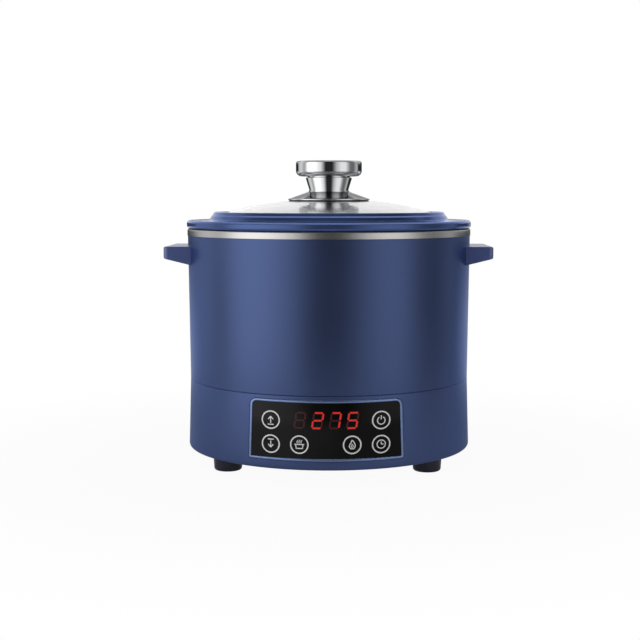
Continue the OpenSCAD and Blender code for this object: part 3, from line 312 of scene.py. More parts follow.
blackMould = mouldedPlastic("black_moulding", (0.012, 0.012, 0.014), (0.022, 0.022, 0.025), roughness=0.48)
footRubber = mouldedPlastic("foot_rubber", (0.012, 0.013, 0.036), (0.019, 0.021, 0.055), roughness=0.26,
                            grainScale=700, grainDepth=0.05)
greySilicone = mouldedPlastic("silicone_seal", (0.55, 0.56, 0.57), (0.66, 0.67, 0.68), roughness=0.55)
whiteNylon = mouldedPlastic("white_nylon", (0.66, 0.65, 0.60), (0.76, 0.75, 0.70), roughness=0.50)
tanCeramic = mouldedPlastic("tan_ceramic", (0.40, 0.32, 0.22), (0.50, 0.42, 0.31), roughness=0.65)
greenBoard = mouldedPlastic("board_lacquer", (0.010, 0.085, 0.035), (0.022, 0.130, 0.055), roughness=0.35,
                            grainScale=260, grainDepth=0.06)
filmBlue = mouldedPlastic("film_sleeve", (0.012, 0.018, 0.09), (0.02, 0.03, 0.13), roughness=0.25)
darkRed = mouldedPlastic("display_block", (0.020, 0.004, 0.004), (0.035, 0.008, 0.007), roughness=0.3)

gloss = Shader("gloss_window", (0.004, 0.004, 0.005), 0.07)
across = gloss.node("ShaderNodeSeparateXYZ")  # painted reflection: the base colour runs lighter at the left and darker towards the right, standing in for light reflected from the left, with random tone mixed in
gloss.link(gloss.place, across.inputs[0])
sheenAndTone = gloss.math("ADD", gloss.math("MULTIPLY", across.outputs["X"], 8.0), gloss.noise(scale=14, detail=4))
# painted reflection: this ramp puts a left-to-right sheen into the window's colour
gloss.tint(sheenAndTone, (0.021, 0.021, 0.021), (0.0025, 0.0025, 0.003), start=0.05, end=0.70)
gloss.rough(gloss.noise(scale=60, detail=3), low=0.05, high=0.10)
gloss.set(**{"Specular IOR Level": 0.16})
blackWindow = gloss.material

pane = Shader("lid_glass_pane", (0.95, 0.965, 0.96), 0.02)
pane.rough(pane.noise(scale=20, detail=3), low=0.01, high=0.03)
pane.tint(pane.noise(scale=6, detail=2), (0.94, 0.955, 0.95), (0.96, 0.975, 0.97))
pane.set(**{"Transmission Weight": 1.0, "IOR": 1.52, "Coat Weight": 1.0, "Coat IOR": 1.7, "Coat Roughness": 0.22})
clearGlass = pane.material

ink = Shader("white_ink", (0.92, 0.92, 0.91), 0.45)
ink.tint(ink.noise(scale=900, detail=3), (0.88, 0.88, 0.87), (0.96, 0.96, 0.95))
ink.set(**{"Emission Color": (1, 1, 1, 1), "Emission Strength": 0.14})  # the print is given a faint painted glow, so that it reads brighter than its lit colour
whiteInk = ink.material

glow = Shader("lit_segment", (0.5, 0.01, 0.008), 0.4)
glow.tint(glow.noise(scale=400, detail=2), (0.45, 0.008, 0.006), (0.60, 0.02, 0.015))
glow.set(**{"Emission Color": (1.0, 0.045, 0.035, 1), "Emission Strength": 0.36})
litRed = glow.material

ember = Shader("unlit_segment", (0.045, 0.004, 0.004), 0.35)
ember.tint(ember.noise(scale=400, detail=2), (0.040, 0.003, 0.003), (0.060, 0.006, 0.006))
ember.set(**{"Emission Color": (0.6, 0.01, 0.01, 1), "Emission Strength": 0.02})
dimRed = ember.material

nodeFinish = {
    "outer_shell": navyShell, "base_housing": navyBase, "left_handle": navyGrip, "right_handle": navyGrip,
    "lid_ring": navyLid, "panel_bezel": frameBlue, "panel_window": blackWindow, "lid_glass": clearGlass,
    "inner_pot": steelBand, "lift_basket": steelSheet, "basket_sleeve": steelSheet, "pot_well": steelSheet,
    "well_floor": steelSheet, "pot_chimney": steelSheet, "basket_floor": steelSheet, "basket_feet": steelSheet,
    "heat_shield": steelRolled, "motor_bracket": steelRolled, "drive_motor": steelRolled,
    "lift_tube": steelSheet, "lead_screw": steelSheet, "sensor_probe": steelSheet, "heater_posts": steelRolled,
    "sensor_spring": zincPlate, "knob_bolt": zincPlate, "cover_screws": zincPlate, "handle_screws": zincPlate,
    "board_screws": zincPlate, "bracket_screws": zincPlate, "heating_element": steelRolled,
    "knob_plate": mirrorChrome, "knob_stem": mirrorChrome, "knob_cap": mirrorChrome,
    "heater_plate": castMetal, "bottom_cover": blackMould, "power_inlet": blackMould, "relay": blackMould,
    "feet": footRubber, "knob_gasket": footRubber, "touch_pads": footRubber, "lid_seal": greySilicone,
    "lift_nut": yellowBrass, "lower_bush": yellowBrass, "drive_pinion": yellowBrass, "inlet_pins": yellowBrass,
    "screw_gear": whiteNylon, "guide_bush": whiteNylon, "push_tip": whiteNylon, "knob_washer": whiteNylon,
    "control_board": greenBoard, "power_board": greenBoard, "display_module": darkRed,
    "transformer": copperWinding, "capacitor": filmBlue, "thermal_fuse": tanCeramic,
}
for name, node in nodes.items():
    node.data.materials.clear()
    node.data.materials.append(nodeFinish[name])
print("materials set on", len(nodeFinish), "nodes")


# the turned walls are copied and merged, which closes the crease that each has along one side

walls = {  # body, slot
    "outer_shell": ("base", "navy_shell"), "base_housing": ("base", "navy_plastic"), "inner_pot": ("pot", "steel"),
}
for name, (body, slot) in walls.items():
    mesh = nodes[name].data.copy()
    mesh.name = name + "_wall"
    mesh.attributes.remove(mesh.attributes["custom_normal"])
    addPiece(name + "_wall", finishMesh(mesh, merge=0.001 * mm, turn=False), body, nodeFinish[name], [name])
print("walls merged")


# the panel's frame, and the signs and digits that lie on the window's curved face

panel = {
    "seamHeight": 75.3, "baseHeight": 63.0, "waistRadius": 128.1, "swell": 1.9, "sunk": 0.1,
    "keySpots": [(-46.6, 54.3), (46.6, 54.3), (-46.6, 33.9), (46.6, 33.9), (-22.2, 34.4), (22.2, 34.4)],
    "ringRadius": 7.3, "ringLine": 1.14, "inkHeight": 0.12, "inkSink": 0.06, "signLine": 0.85, "thinLine": 0.6,
}


def windowRadius(z):
    rise = (panel["seamHeight"] - z) / panel["baseHeight"]
    return panel["waistRadius"] + panel["swell"] * rise - panel["sunk"]


def onWindow(x, z, lift):
    radius = windowRadius(z) + lift
    return (x * mm, -math.sqrt(radius * radius - x * x) * mm, z * mm)


def strokePoints(points, spacing=1.2):
    dense = [points[0]]
    for a, b in zip(points, points[1:]):
        parts = max(1, math.ceil(math.dist(a, b) / spacing))
        dense += [(a[0] + (b[0] - a[0]) * i / parts, a[1] + (b[1] - a[1]) * i / parts) for i in range(1, parts + 1)]
    return dense


def addStroke(work, points, width, closed=False):
    path = strokePoints(points + [points[0]] if closed else points)
    if closed:
        path = path[:-1]
    rows = []
    for i, (x, z) in enumerate(path):
        before = path[i - 1] if closed or i else path[0]
        after = path[(i + 1) % len(path)] if closed or i + 1 < len(path) else path[i]
        run = Vector((after[0] - before[0], after[1] - before[1])).normalized()
        side = Vector((-run.y, run.x)) * width / 2
        spots = [(x + side.x, z + side.y), (x - side.x, z - side.y)]
        top = [work.verts.new(onWindow(*spot, panel["inkHeight"])) for spot in spots]
        low = [work.verts.new(onWindow(*spot, -panel["inkSink"])) for spot in spots]
        rows.append([top[0], top[1], low[1], low[0]])
    pairs = list(zip(rows, rows[1:] + rows[:1] if closed else rows[1:]))
    for a, b in pairs:
        for k in range(4):
            work.faces.new((a[k], a[(k + 1) % 4], b[(k + 1) % 4], b[k]))
    if not closed:
        work.faces.new(rows[0])
        work.faces.new(rows[-1])


def circlePoints(cx, cz, radius, start=0, end=360, count=28):
    turn = [math.radians(start + (end - start) * i / count) for i in range(count + 1)]
    return [(cx + radius * math.cos(t), cz + radius * math.sin(t)) for t in turn]


def strokeMesh(name, strokes):
    work = bmesh.new()
    for points, width, closed in strokes:
        addStroke(work, points, width, closed)
    return workMesh(name, work)


def keySigns():
    line, thin = panel["signLine"], panel["thinLine"]
    spots = panel["keySpots"]
    strokes = []

    def draw(spot, points, closed=False, width=line):
        strokes.append(([(spot[0] + x, spot[1] + z) for x, z in points], width, closed))

    def arrow(spot, way):
        draw(spot, [(0, -2.6 * way), (0, 2.2 * way)])
        draw(spot, [(-2.2, 0.4 * way), (0, 2.9 * way)])
        draw(spot, [(2.2, 0.4 * way), (0, 2.9 * way)])
        draw(spot, [(-2.6, -3.9 * way), (2.6, -3.9 * way)])

    arrow(spots[0], 1)
    arrow(spots[2], -1)
    # power sign
    draw(spots[1], circlePoints(0, -0.3, 3.2, 120, 420))
    draw(spots[1], [(0, 0.6), (0, 4.0)])
    # clock
    draw(spots[3], circlePoints(0, 0, 3.5)[:-1], True)
    draw(spots[3], [(0, 2.2), (0, 0), (1.9, 0)])
    # open pot with steam
    draw(spots[4], [(-3.2, 0.2), (-2.6, -3.2), (2.6, -3.2), (3.2, 0.2)])
    draw(spots[4], [(-4.2, 0.2), (4.2, 0.2)])
    for x in (-1.7, 0, 1.7):
        wave = [(x + 0.5 * math.sin(z * 2.2), z) for z in [1.2 + 0.35 * i for i in range(9)]]
        draw(spots[4], wave, False, thin)
    # drop
    draw(spots[5], [(0, 4.0), (1.4, 2.2), (2.5, 0.3), (2.5, -1.6), (1.3, -3.3), (-1.3, -3.3), (-2.5, -1.6),
                    (-2.2, 0.1), (-1.2, 1.2), (-0.8, 2.6)], True)
    draw(spots[5], [(0, 0.6), (1.0, -0.9), (0.6, -2.0), (-0.6, -2.0), (-0.9, -0.9)], True, thin)
    return strokes


digits = {
    "height": 12.9, "width": 7.8, "line": 1.55, "sheenAndTone": 0.16, "gap": 0.55,
    "centre": 55.0, "places": [-21.7, -6.7, 8.0, 22.6], "shown": ["", "abged", "abc", "afgcd"],
}


def segmentStrokes(lit):
    h, w, gap = digits["height"] / 2, digits["width"] / 2, digits["gap"]
    bars = {
        "a": ((-w + gap, h), (w - gap, h)), "d": ((-w + gap, -h), (w - gap, -h)), "g": ((-w + gap, 0), (w - gap, 0)),
        "f": ((-w, gap), (-w, h - gap)), "b": ((w, gap), (w, h - gap)),
        "e": ((-w, -h + gap), (-w, -gap)), "c": ((w, -h + gap), (w, -gap)),
    }
    strokes = []
    for place, shown in zip(digits["places"], digits["shown"]):
        for key, ends in bars.items():
            if (key in shown) == lit:
                points = [(place + x + z * digits["sheenAndTone"], digits["centre"] + z) for x, z in ends]
                strokes.append((points, digits["line"], False))
    return strokes


def frameMesh(name, shape):
    # rings of one outline, each drawn in and lifted a little more, follow the base and close into a section
    top, foot, low, high = shape["topWidth"] / 2, shape["footWidth"] / 2, shape["low"], shape["high"]
    points, faces = [], []
    section = roundedOutline(shape["section"], steps=5)
    for inset, lift in section:
        footRound = max(shape["leastRound"], shape["footRound"] - inset)
        topRound = max(shape["leastRound"], shape["topRound"] - inset)
        corners = [(-foot + inset, low + inset, footRound), (foot - inset, low + inset, footRound),
                   (top - inset, high - inset, topRound), (-top + inset, high - inset, topRound)]
        ring = roundedOutline(corners, steps=6)
        for (x, z), (nextX, nextZ) in zip(ring, ring[1:] + ring[:1]):
            parts = shape["bends"] if math.dist((x, z), (nextX, nextZ)) > shape["longSide"] else 1
            for i in range(parts):
                spot = (x + (nextX - x) * i / parts, z + (nextZ - z) * i / parts)
                points.append(onWindow(*spot, lift + panel["sunk"]))
    around = len(points) // len(section)
    for i in range(len(section)):
        row, follow = i * around, (i + 1) % len(section) * around
        for k in range(around):
            n = (k + 1) % around
            faces.append((row + k, row + n, follow + n, follow + k))
    return pointMesh(name, points, faces)


bezel = {
    "topWidth": 129.4, "footWidth": 132.4, "low": 20.2, "high": 72.0, "topRound": 6.0, "footRound": 1.6,
    "leastRound": 0.5, "bends": 40, "longSide": 20,  # sides longer than this are bent in so many steps
    "section": [(0, -3.5), (0, 0.7, 1.1), (2.4, 0.7, 0.9), (2.4, -2.1), (4.0, -2.1), (4.0, -3.5)],
}
addPiece("panel_frame", frameMesh("panel_frame", bezel), "base", frameBlue, ["panel_bezel"])
addPiece("key_signs", strokeMesh("key_signs", keySigns()), "base", whiteInk)
addPiece("lit_digits", strokeMesh("lit_digits", segmentStrokes(True)), "base", litRed)
addPiece("dim_digits", strokeMesh("dim_digits", segmentStrokes(False)), "base", dimRed)
print("window print made")


# geometry nodes, and the key rings that a tree bends onto the window

class NodeTree:
    def __init__(self, name, inputs):
        self.tree = bpy.data.node_groups.new(name, "GeometryNodeTree")
        self.tree.interface.new_socket("Geometry", in_out="INPUT", socket_type="NodeSocketGeometry")
        self.sockets = {}
        for label, (kind, value) in inputs.items():
            socket = self.tree.interface.new_socket(label, in_out="INPUT", socket_type="NodeSocket" + kind)
            self.sockets[label] = (socket.identifier, value)
        self.tree.interface.new_socket("Geometry", in_out="OUTPUT", socket_type="NodeSocketGeometry")
        self.start = self.tree.nodes.new("NodeGroupInput")
        self.end = self.tree.nodes.new("NodeGroupOutput")

    def node(self, kind, *links, **settings):
        made = self.tree.nodes.new(kind)
        for name, value in settings.items():
            setattr(made, name, value)
        for socket, value in links:
            target = made.inputs[socket]
            if hasattr(value, "is_output"):
                self.tree.links.new(value, target)
            else:
                target.default_value = value
        return made

    def math(self, operation, first, second=0.0):
        return mathNode(self.tree, operation, first, second)

    def make(self, name, points, material, axes=()):
        # ends in real geometry with its material, then becomes a plain mesh
        real = self.node("GeometryNodeRealizeInstances", (0, self.last))
        coated = self.node("GeometryNodeSetMaterial", (0, real.outputs[0]), ("Material", material))
        self.tree.links.new(coated.outputs[0], self.end.inputs[0])
        spots = bpy.data.meshes.new(name + "_points")
        spots.from_pydata(points, [], [])
        if axes:
            ways = spots.attributes.new("axis", "FLOAT_VECTOR", "POINT")
            ways.data.foreach_set("vector", [part for axis in axes for part in axis])
        holder = bpy.data.objects.new(name + "_maker", spots)
        bpy.context.scene.collection.objects.link(holder)
        modifier = holder.modifiers.new(name, "NODES")
        modifier.node_group = self.tree
        for identifier, value in self.sockets.values():
            modifier[identifier] = value
        seen = holder.evaluated_get(bpy.context.evaluated_depsgraph_get())
        mesh = bpy.data.meshes.new_from_object(seen)
        mesh.name = name
        holder.modifiers.remove(modifier)
        bpy.data.objects.remove(holder)
        return finishMesh(mesh)


def ringTree():
    tree = NodeTree("key_rings", {
        "Ring Radius": ("Float", panel["ringRadius"] * mm), "Line Width": ("Float", panel["ringLine"] * mm),
        "Line Height": ("Float", (panel["inkHeight"] + panel["inkSink"]) * mm),
        "Face Radius": ("Float", (panel["waistRadius"] - panel["sunk"]) * mm),
        "Seam Height": ("Float", panel["seamHeight"] * mm), "Slope": ("Float", panel["swell"] / panel["baseHeight"]),
        "Lift": ("Float", (panel["inkHeight"] - panel["inkSink"]) / 2 * mm),
    })
    given = tree.start.outputs
    circle = tree.node("GeometryNodeCurvePrimitiveCircle", ("Resolution", 48), ("Radius", given["Ring Radius"]))
    line = tree.node("GeometryNodeCurvePrimitiveQuadrilateral", ("Width", given["Line Width"]),
                     ("Height", given["Line Height"]))
    ring = tree.node("GeometryNodeCurveToMesh", ("Curve", circle.outputs[0]), ("Profile Curve", line.outputs[0]))
    upright = tree.node("GeometryNodeTransform", ("Geometry", ring.outputs[0]),
                        ("Rotation", (math.radians(90), 0, 0)))
    placed = tree.node("GeometryNodeInstanceOnPoints", ("Points", given["Geometry"]),
                       ("Instance", upright.outputs[0]))
    real = tree.node("GeometryNodeRealizeInstances", (0, placed.outputs[0]))
    spot = tree.node("ShaderNodeSeparateXYZ", (0, tree.node("GeometryNodeInputPosition").outputs[0])).outputs
    fall = tree.math("SUBTRACT", given["Seam Height"], spot[2])
    radius = tree.math("ADD", given["Face Radius"], tree.math("MULTIPLY", fall, given["Slope"]))
    reach = tree.math("SUBTRACT", tree.math("ADD", radius, given["Lift"]), spot[1])
    depth = tree.math("SQRT", tree.math("SUBTRACT", tree.math("MULTIPLY", reach, reach),
                                        tree.math("MULTIPLY", spot[0], spot[0])))
    bent = tree.node("ShaderNodeCombineXYZ", (0, spot[0]), (1, tree.math("MULTIPLY", depth, -1.0)), (2, spot[2]))
    wrapped = tree.node("GeometryNodeSetPosition", ("Geometry", real.outputs[0]), ("Position", bent.outputs[0]))
    tree.last = wrapped.outputs[0]
    return tree


ringSpots = [(x * mm, 0, z * mm) for x, z in panel["keySpots"]]
addPiece("key_rings", ringTree().make("key_rings", ringSpots, whiteInk), "base", whiteInk)
print("key rings made")


# screws with a cross in the head and a thread on the shank, set in rows by a tree

screws = {  # lengths are parts of the diameter
    "around": 24, "steps": 6, "crossReach": 0.52, "crossArm": 0.14, "crossDepth": 0.30, "crossTaper": 0.7,
    "pitch": 0.36, "threadDepth": 0.07, "point": 0.3, "pointRadius": 0.36,
    "head": [(0.62, -0.5), (0.76, -0.46), (0.86, -0.36), (0.9, -0.22), (0.9, 0), (0.5, 0)],  # radius, height
    "grooveHalf": 0.34, "grooveFlat": 1.6,
}
seats = {  # millimetres and degrees
    "coverCircle": 118.6, "coverFace": 12.7, "handleFace": 121.996, "handleApart": 23, "handleHeight": 191.5,
    "boardFace": -106.49, "powerBoard": 68.0336, "powerFace": 23.3, "motorOut": 33, "motorTurn": 150, "motorCircle": 16,
}


def circleSpots(radius, angles, height, centre=(0, 0)):
    turns = [math.radians(angle) for angle in angles]
    return [(centre[0] + radius * math.cos(t), centre[1] + radius * math.sin(t), height) for t in turns]


motorSpot = circleSpots(seats["motorOut"], [seats["motorTurn"]], 0)[0]
screwSets = {  # diameter, shank, seats, the way each shank points
    "cover_screws": (4.0, 13.0, circleSpots(seats["coverCircle"], (14, 166, 194, -14), seats["coverFace"]),
                     [(0, 0, 1)] * 4),
    "handle_screws": (4.0, 16.0, [(side * seats["handleFace"], way * seats["handleApart"], seats["handleHeight"])
                                  for side in (1, -1) for way in (-1, 1)], [(1, 0, 0)] * 2 + [(-1, 0, 0)] * 2),
    "board_screws": (2.4, 5.6, [(x, seats["boardFace"], z) for x, z in ((-51, 43.9), (51, 43.9), (0, 33.8))]
                     + [(seats["powerBoard"] + x, y, seats["powerFace"]) for x in (-30, 30) for y in (-26, 26)],
                     [(0, -1, 0)] * 3 + [(0, 0, -1)] * 4),
    "bracket_screws": (2.4, 8.0, circleSpots(seats["motorCircle"], [seats["motorTurn"] + a for a in (-70, 0, 70)],
                                             seats["coverFace"], motorSpot), [(0, 0, 1)] * 3),
}


def threadRows(radius, depth, low, high, pitch, starts, around, steps):
    # rows of points from low to high, drawn in where the groove of a right-hand thread runs
    count = max(2, math.ceil((high - low) / pitch * steps))
    rows = []
    for i in range(count + 1):
        z = low + (high - low) * i / count
        ends = min(1.0, (z - low) / pitch, (high - z) / pitch)
        row = []
        for k in range(around):
            turn = 2 * math.pi * k / around
            phase = (z / pitch - starts * k / around) % 1.0
            groove = max(0.0, 1 - abs(phase - 0.5) / screws["grooveHalf"]) * max(0.0, ends)
            reach = radius - depth * min(1.0, groove * screws["grooveFlat"])
            row.append((reach * math.cos(turn) * mm, reach * math.sin(turn) * mm, z * mm))
        rows.append(row)
    return rows


def joinRows(work, rows):
    rings = [[work.verts.new(point) for point in row] for row in rows]
    for a, b in zip(rings, rings[1:]):
        for k in range(len(a)):
            n = (k + 1) % len(a)
            work.faces.new((a[k], a[n], b[n], b[k]))
    return rings


def screwMesh(name, diameter, length):
    d, around = diameter, screws["around"]
    work = bmesh.new()

    def circle(radius, z):
        turns = [2 * math.pi * k / around for k in range(around)]
        return [(radius * math.cos(t) * mm, radius * math.sin(t) * mm, z * mm) for t in turns]

    head = [circle(radius * d, z * d) for radius, z in screws["head"]]
    shank = threadRows(d / 2, screws["threadDepth"] * d, 0, length - screws["point"] * d, screws["pitch"] * d, 1,
                       around, screws["steps"])
    rings = joinRows(work, head + shank[1:] + [circle(screws["pointRadius"] * d, length)])
    work.faces.new(rings[-1])
    reach, arm, taper = screws["crossReach"] * d, screws["crossArm"] * d, screws["crossTaper"]
    plan = [(reach, -arm), (reach, arm), (arm, arm), (arm, reach), (-arm, reach), (-arm, arm),
            (-reach, arm), (-reach, -arm), (-arm, -arm), (-arm, -reach), (arm, -reach), (arm, -arm)]
    face = screws["head"][0][1]
    upper = [work.verts.new((x * mm, y * mm, face * d * mm)) for x, y in plan]
    low = (screws["crossDepth"] + face) * d
    lower = [work.verts.new((x * taper * mm, y * taper * mm, low * mm)) for x, y in plan]
    edge = [(k, (k + 1) % len(plan)) for k in range(len(plan))]
    for k, n in edge:
        work.faces.new((upper[k], upper[n], lower[n], lower[k]))
    work.faces.new(lower)
    rim = [work.edges.get((rings[0][k], rings[0][(k + 1) % around])) for k in range(around)]
    rim += [work.edges.get((upper[k], upper[n])) for k, n in edge]
    bmesh.ops.triangle_fill(work, use_beauty=True, edges=rim)
    return workMesh(name, work)


def screwTree(name, screw):
    tree = NodeTree(name, {"Screw": ("Object", screw), "Size": ("Float", 1.0)})
    given = tree.start.outputs
    shape = tree.node("GeometryNodeObjectInfo", ("Object", given["Screw"]))
    axis = tree.node("GeometryNodeInputNamedAttribute", ("Name", "axis"), data_type="FLOAT_VECTOR")
    turned = tree.node("FunctionNodeAlignRotationToVector", ("Vector", axis.outputs["Attribute"]), axis="Z")
    placed = tree.node("GeometryNodeInstanceOnPoints", ("Points", given["Geometry"]),
                       ("Instance", shape.outputs["Geometry"]), ("Rotation", turned.outputs[0]),
                       ("Scale", given["Size"]))
    tree.last = placed.outputs[0]
    return tree


for name, (diameter, length, spots, ways) in screwSets.items():
    shape = bpy.data.objects.new(name + "_one", screwMesh(name + "_one", diameter, length))
    points = [(x * mm, y * mm, z * mm) for x, y, z in spots]
    mesh = screwTree(name, shape).make(name + "_row", points, zincPlate, ways)
    bpy.data.objects.remove(shape)
    addPiece(name + "_row", mesh, "base", zincPlate, [name])

thread = {
    "radius": 4.0, "depth": 0.55, "low": 14.2, "high": 101.9, "pitch": 2.0, "starts": 4, "around": 64, "steps": 6,
    "footEdge": 0.6, "topEdge": 1.0, "endShare": 0.84,
}


def leadScrewMesh(name):
    work = bmesh.new()
    share = thread["endShare"]
    rows = threadRows(thread["radius"], thread["depth"], thread["low"] + thread["footEdge"],
                      thread["high"] - thread["topEdge"], thread["pitch"], thread["starts"], thread["around"],
                      thread["steps"])

    def tip(z):
        return [(x * share, y * share, z * mm) for x, y, _ in rows[0]]

    rings = joinRows(work, [tip(thread["low"])] + rows + [tip(thread["high"])])
    work.faces.new(rings[0])
    work.faces.new(rings[-1])
    return workMesh(name, work)


addPiece("lead_screw_thread", leadScrewMesh("lead_screw_thread"), "screw", steelSheet, ["lead_screw"])
print("screws and thread made")


# the probe's spring, coiled along a spiral, under the probe that the pot presses down

spring = {"x": 12.5, "y": -21.65, "low": 86.37, "high": 100.53, "radius": 3.4, "wire": 0.5, "turns": 6, "press": 2.0}


def springTree(name):
    length = (spring["high"] - spring["low"] - 2 * spring["wire"]) * mm
    tree = NodeTree(name, {
        "Coil Radius": ("Float", spring["radius"] * mm), "Wire Radius": ("Float", spring["wire"] * mm),
        "Turns": ("Float", spring["turns"]), "Length": ("Float", length),
    })
    given = tree.start.outputs
    coil = tree.node("GeometryNodeCurveSpiral", ("Resolution", 36), ("Rotations", given["Turns"]),
                     ("Start Radius", given["Coil Radius"]), ("End Radius", given["Coil Radius"]),
                     ("Height", given["Length"]))
    wire = tree.node("GeometryNodeCurvePrimitiveCircle", ("Resolution", 12), ("Radius", given["Wire Radius"]))
    tube = tree.node("GeometryNodeCurveToMesh", ("Curve", coil.outputs[0]), ("Profile Curve", wire.outputs[0]),
                     ("Fill Caps", True))
    placed = tree.node("GeometryNodeInstanceOnPoints", ("Points", given["Geometry"]), ("Instance", tube.outputs[0]))
    tree.last = placed.outputs[0]
    return tree


springFoot = (spring["x"] * mm, spring["y"] * mm, spring["low"] * mm)
springSeat = (springFoot[0], springFoot[1], springFoot[2] + spring["wire"] * mm)
springMesh = springTree("probe_spring").make("probe_spring", [springSeat], zincPlate)
coil = addPiece("probe_spring", springMesh, "base", zincPlate, ["sensor_spring"])
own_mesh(coil)
print("spring coiled")


# lid and knob, turned finer than the plain solids

lid = {
    "foot": 212.7, "outer": 130.4, "bead": 220.0, "beadUnder": 2.6, "beadBevel": 1.8, "beadRound": 1.4,
    "sweep": 109.6, "sweepTop": 220.6, "footRound": 1.2, "step": 107.9, "ledge": 223.7, "bevel": 1.2, "edgeRound": 0.4,
    "ring": 105.2, "top": 227.5, "topRound": 1.5, "lip": 96.8, "gap": 0.2,
    "edge": 99.2, "bore": 4.0, "curve": 368.0, "apex": 239.36, "glass": 4.0,  # the glass dome
    "sealOut": 100.8, "sealFoot": 220.34, "hold": 94.8, "holdDrop": 2, "holdRound": 1,
    "plug": 111.8, "plugWall": 2.2, "plugFoot": 206.7, "plugRise": 1.6, "plugRound": 2, "plugTip": 1,
    "around": 256, "cornerSteps": 10,
}
knob = {
    "foot": 238.23, "neck": 245.83, "cap": 260.03, "top": 273.93,
    "plate": 37.5, "plateEdge": 1, "plateRound": 0.4, "gasket": 33.5, "sheet": 1.4, "sheetInset": 1,
    "bolt": 3.2, "boltDepth": 10,
    "neckFoot": 19.3, "footRound": 0.3, "neckWaist": 17.8, "flare": 1.2, "waistRound": 1.2, "neckTop": 21.3,
    "neckDrop": 1.6, "neckRound": 0.8, "neckGap": 0.6, "neckInset": 2,
    "spigot": 16.15, "spigotHeight": 6, "spigotRound": 1, "socketHeight": 6.2, "fit": 0.06,
    "capRadius": 30.3, "under": 5.0, "upper": 2.2,
}


def domeHeight(radius):
    return lid["apex"] - lid["curve"] + math.sqrt(lid["curve"] ** 2 - radius ** 2)


def lidRing():
    bore = lid["plug"] - lid["plugWall"]
    return [
        (lid["plug"], lid["foot"]), (lid["outer"], lid["foot"], lid["beadUnder"]),
        (lid["outer"], lid["bead"] - lid["beadBevel"], lid["beadRound"]),
        (lid["outer"] - lid["beadBevel"], lid["bead"], lid["beadRound"]),
        (lid["sweep"], lid["sweepTop"], lid["footRound"]), (lid["step"], lid["ledge"], lid["edgeRound"]),
        (lid["step"] - lid["bevel"], lid["ledge"] + lid["bevel"], lid["edgeRound"]),
        (lid["ring"], lid["top"], lid["topRound"]), (lid["lip"], lid["top"], lid["edgeRound"]),
        (lid["lip"], domeHeight(lid["lip"]) + lid["gap"]), (lid["sealOut"], domeHeight(lid["edge"]) + lid["gap"]),
        (lid["sealOut"], lid["sealFoot"]), (lid["hold"], lid["sealFoot"]),
        (lid["hold"], lid["sealFoot"] - lid["holdDrop"], lid["holdRound"]),
        (bore, lid["foot"] + lid["plugRise"], lid["plugRound"]), (bore, lid["plugFoot"]),
        (lid["plug"], lid["plugFoot"], lid["plugTip"]),
    ]


def lidDome(steps=60):
    radii = [lid["bore"] + (lid["edge"] - lid["bore"]) * i / steps for i in range(steps + 1)]
    outside = [(r, domeHeight(r)) for r in radii]
    return outside + [(r, z - lid["glass"]) for r, z in reversed(outside)]


knobPlate = [
    (knob["gasket"], knob["foot"]), (knob["plate"], knob["foot"], knob["plateRound"]),
    (knob["plate"], knob["foot"] + knob["plateEdge"], knob["plateRound"]), (knob["neckFoot"], knob["neck"]),
    (knob["bolt"], knob["neck"]), (knob["bolt"], knob["neck"] - knob["sheet"]),
    (knob["neckFoot"] - knob["sheetInset"], knob["neck"] - knob["sheet"]),
]
neckInner, spigotTop = knob["neckTop"] - knob["neckInset"], knob["cap"] + knob["spigotHeight"]
knobStem = [
    (knob["bolt"], knob["neck"]), (knob["neckFoot"], knob["neck"], knob["footRound"]),
    (knob["neckWaist"], knob["neck"] + knob["flare"], knob["waistRound"]),
    (knob["neckTop"], knob["cap"] - knob["neckDrop"], knob["neckRound"]),
    (neckInner, knob["cap"] - knob["neckGap"]), (neckInner, knob["cap"]), (knob["spigot"], knob["cap"]),
    (knob["spigot"], spigotTop, knob["spigotRound"]), (0, spigotTop),
    (0, knob["neck"] + knob["boltDepth"]), (knob["bolt"], knob["neck"] + knob["boltDepth"]),
]
socket, socketTop = knob["spigot"] + knob["fit"], knob["cap"] + knob["socketHeight"]
knobCap = [
    (socket, knob["cap"]), (knob["capRadius"], knob["cap"], knob["under"]),
    (knob["capRadius"], knob["top"], knob["upper"]), (0, knob["top"]), (0, socketTop), (socket, socketTop),
]
for name, corners, slot, material, node in (
        ("lid_rim", lidRing(), "navy_plastic", navyLid, "lid_ring"),
        ("lid_dome", lidDome(), "clear_glass", clearGlass, "lid_glass"),
        ("knob_cone", knobPlate, "polished_steel", coneChrome, "knob_plate"),
        ("knob_neck", knobStem, "polished_steel", neckChrome, "knob_stem"),
        ("knob_top", knobCap, "polished_steel", mirrorChrome, "knob_cap")):
    mesh = turnedMesh(name, corners, lid["around"], lid["cornerSteps"])
    addPiece(name, mesh, "lid", material, [node])
print("lid and knob turned")


# camera, floor and light

view = {"distance": 1.18, "eye": 0.2414, "tilt": 5.53, "aside": 1.19, "lens": 71.65, "shift": -0.0139}
aside = math.radians(view["aside"])
camera = bpy.data.objects.new("camera", bpy.data.cameras.new("camera"))
bpy.context.scene.collection.objects.link(camera)
camera.data.lens = view["lens"]
camera.data.shift_x = view["shift"]
camera.location = (view["distance"] * math.sin(aside), -view["distance"] * math.cos(aside), view["eye"])
camera.rotation_euler = (math.radians(90 - view["tilt"]), 0, aside)
bpy.context.scene.camera = camera

floorLook = {"radius": 0.55, "edges": 128, "grey": 0.64, "seenNear": 0.95, "near": 0.20, "far": 0.50, "inGloss": 0.24}
floorMesh = bpy.data.meshes.new("floor")
floorTurns = [2 * math.pi * k / floorLook["edges"] for k in range(floorLook["edges"])]
floorRim = [(floorLook["radius"] * math.cos(t), floorLook["radius"] * math.sin(t), 0) for t in floorTurns]
floorMesh.from_pydata(floorRim, [], [list(range(floorLook["edges"]))])
floor = bpy.data.objects.new("floor", floorMesh)
bpy.context.scene.collection.objects.link(floor)


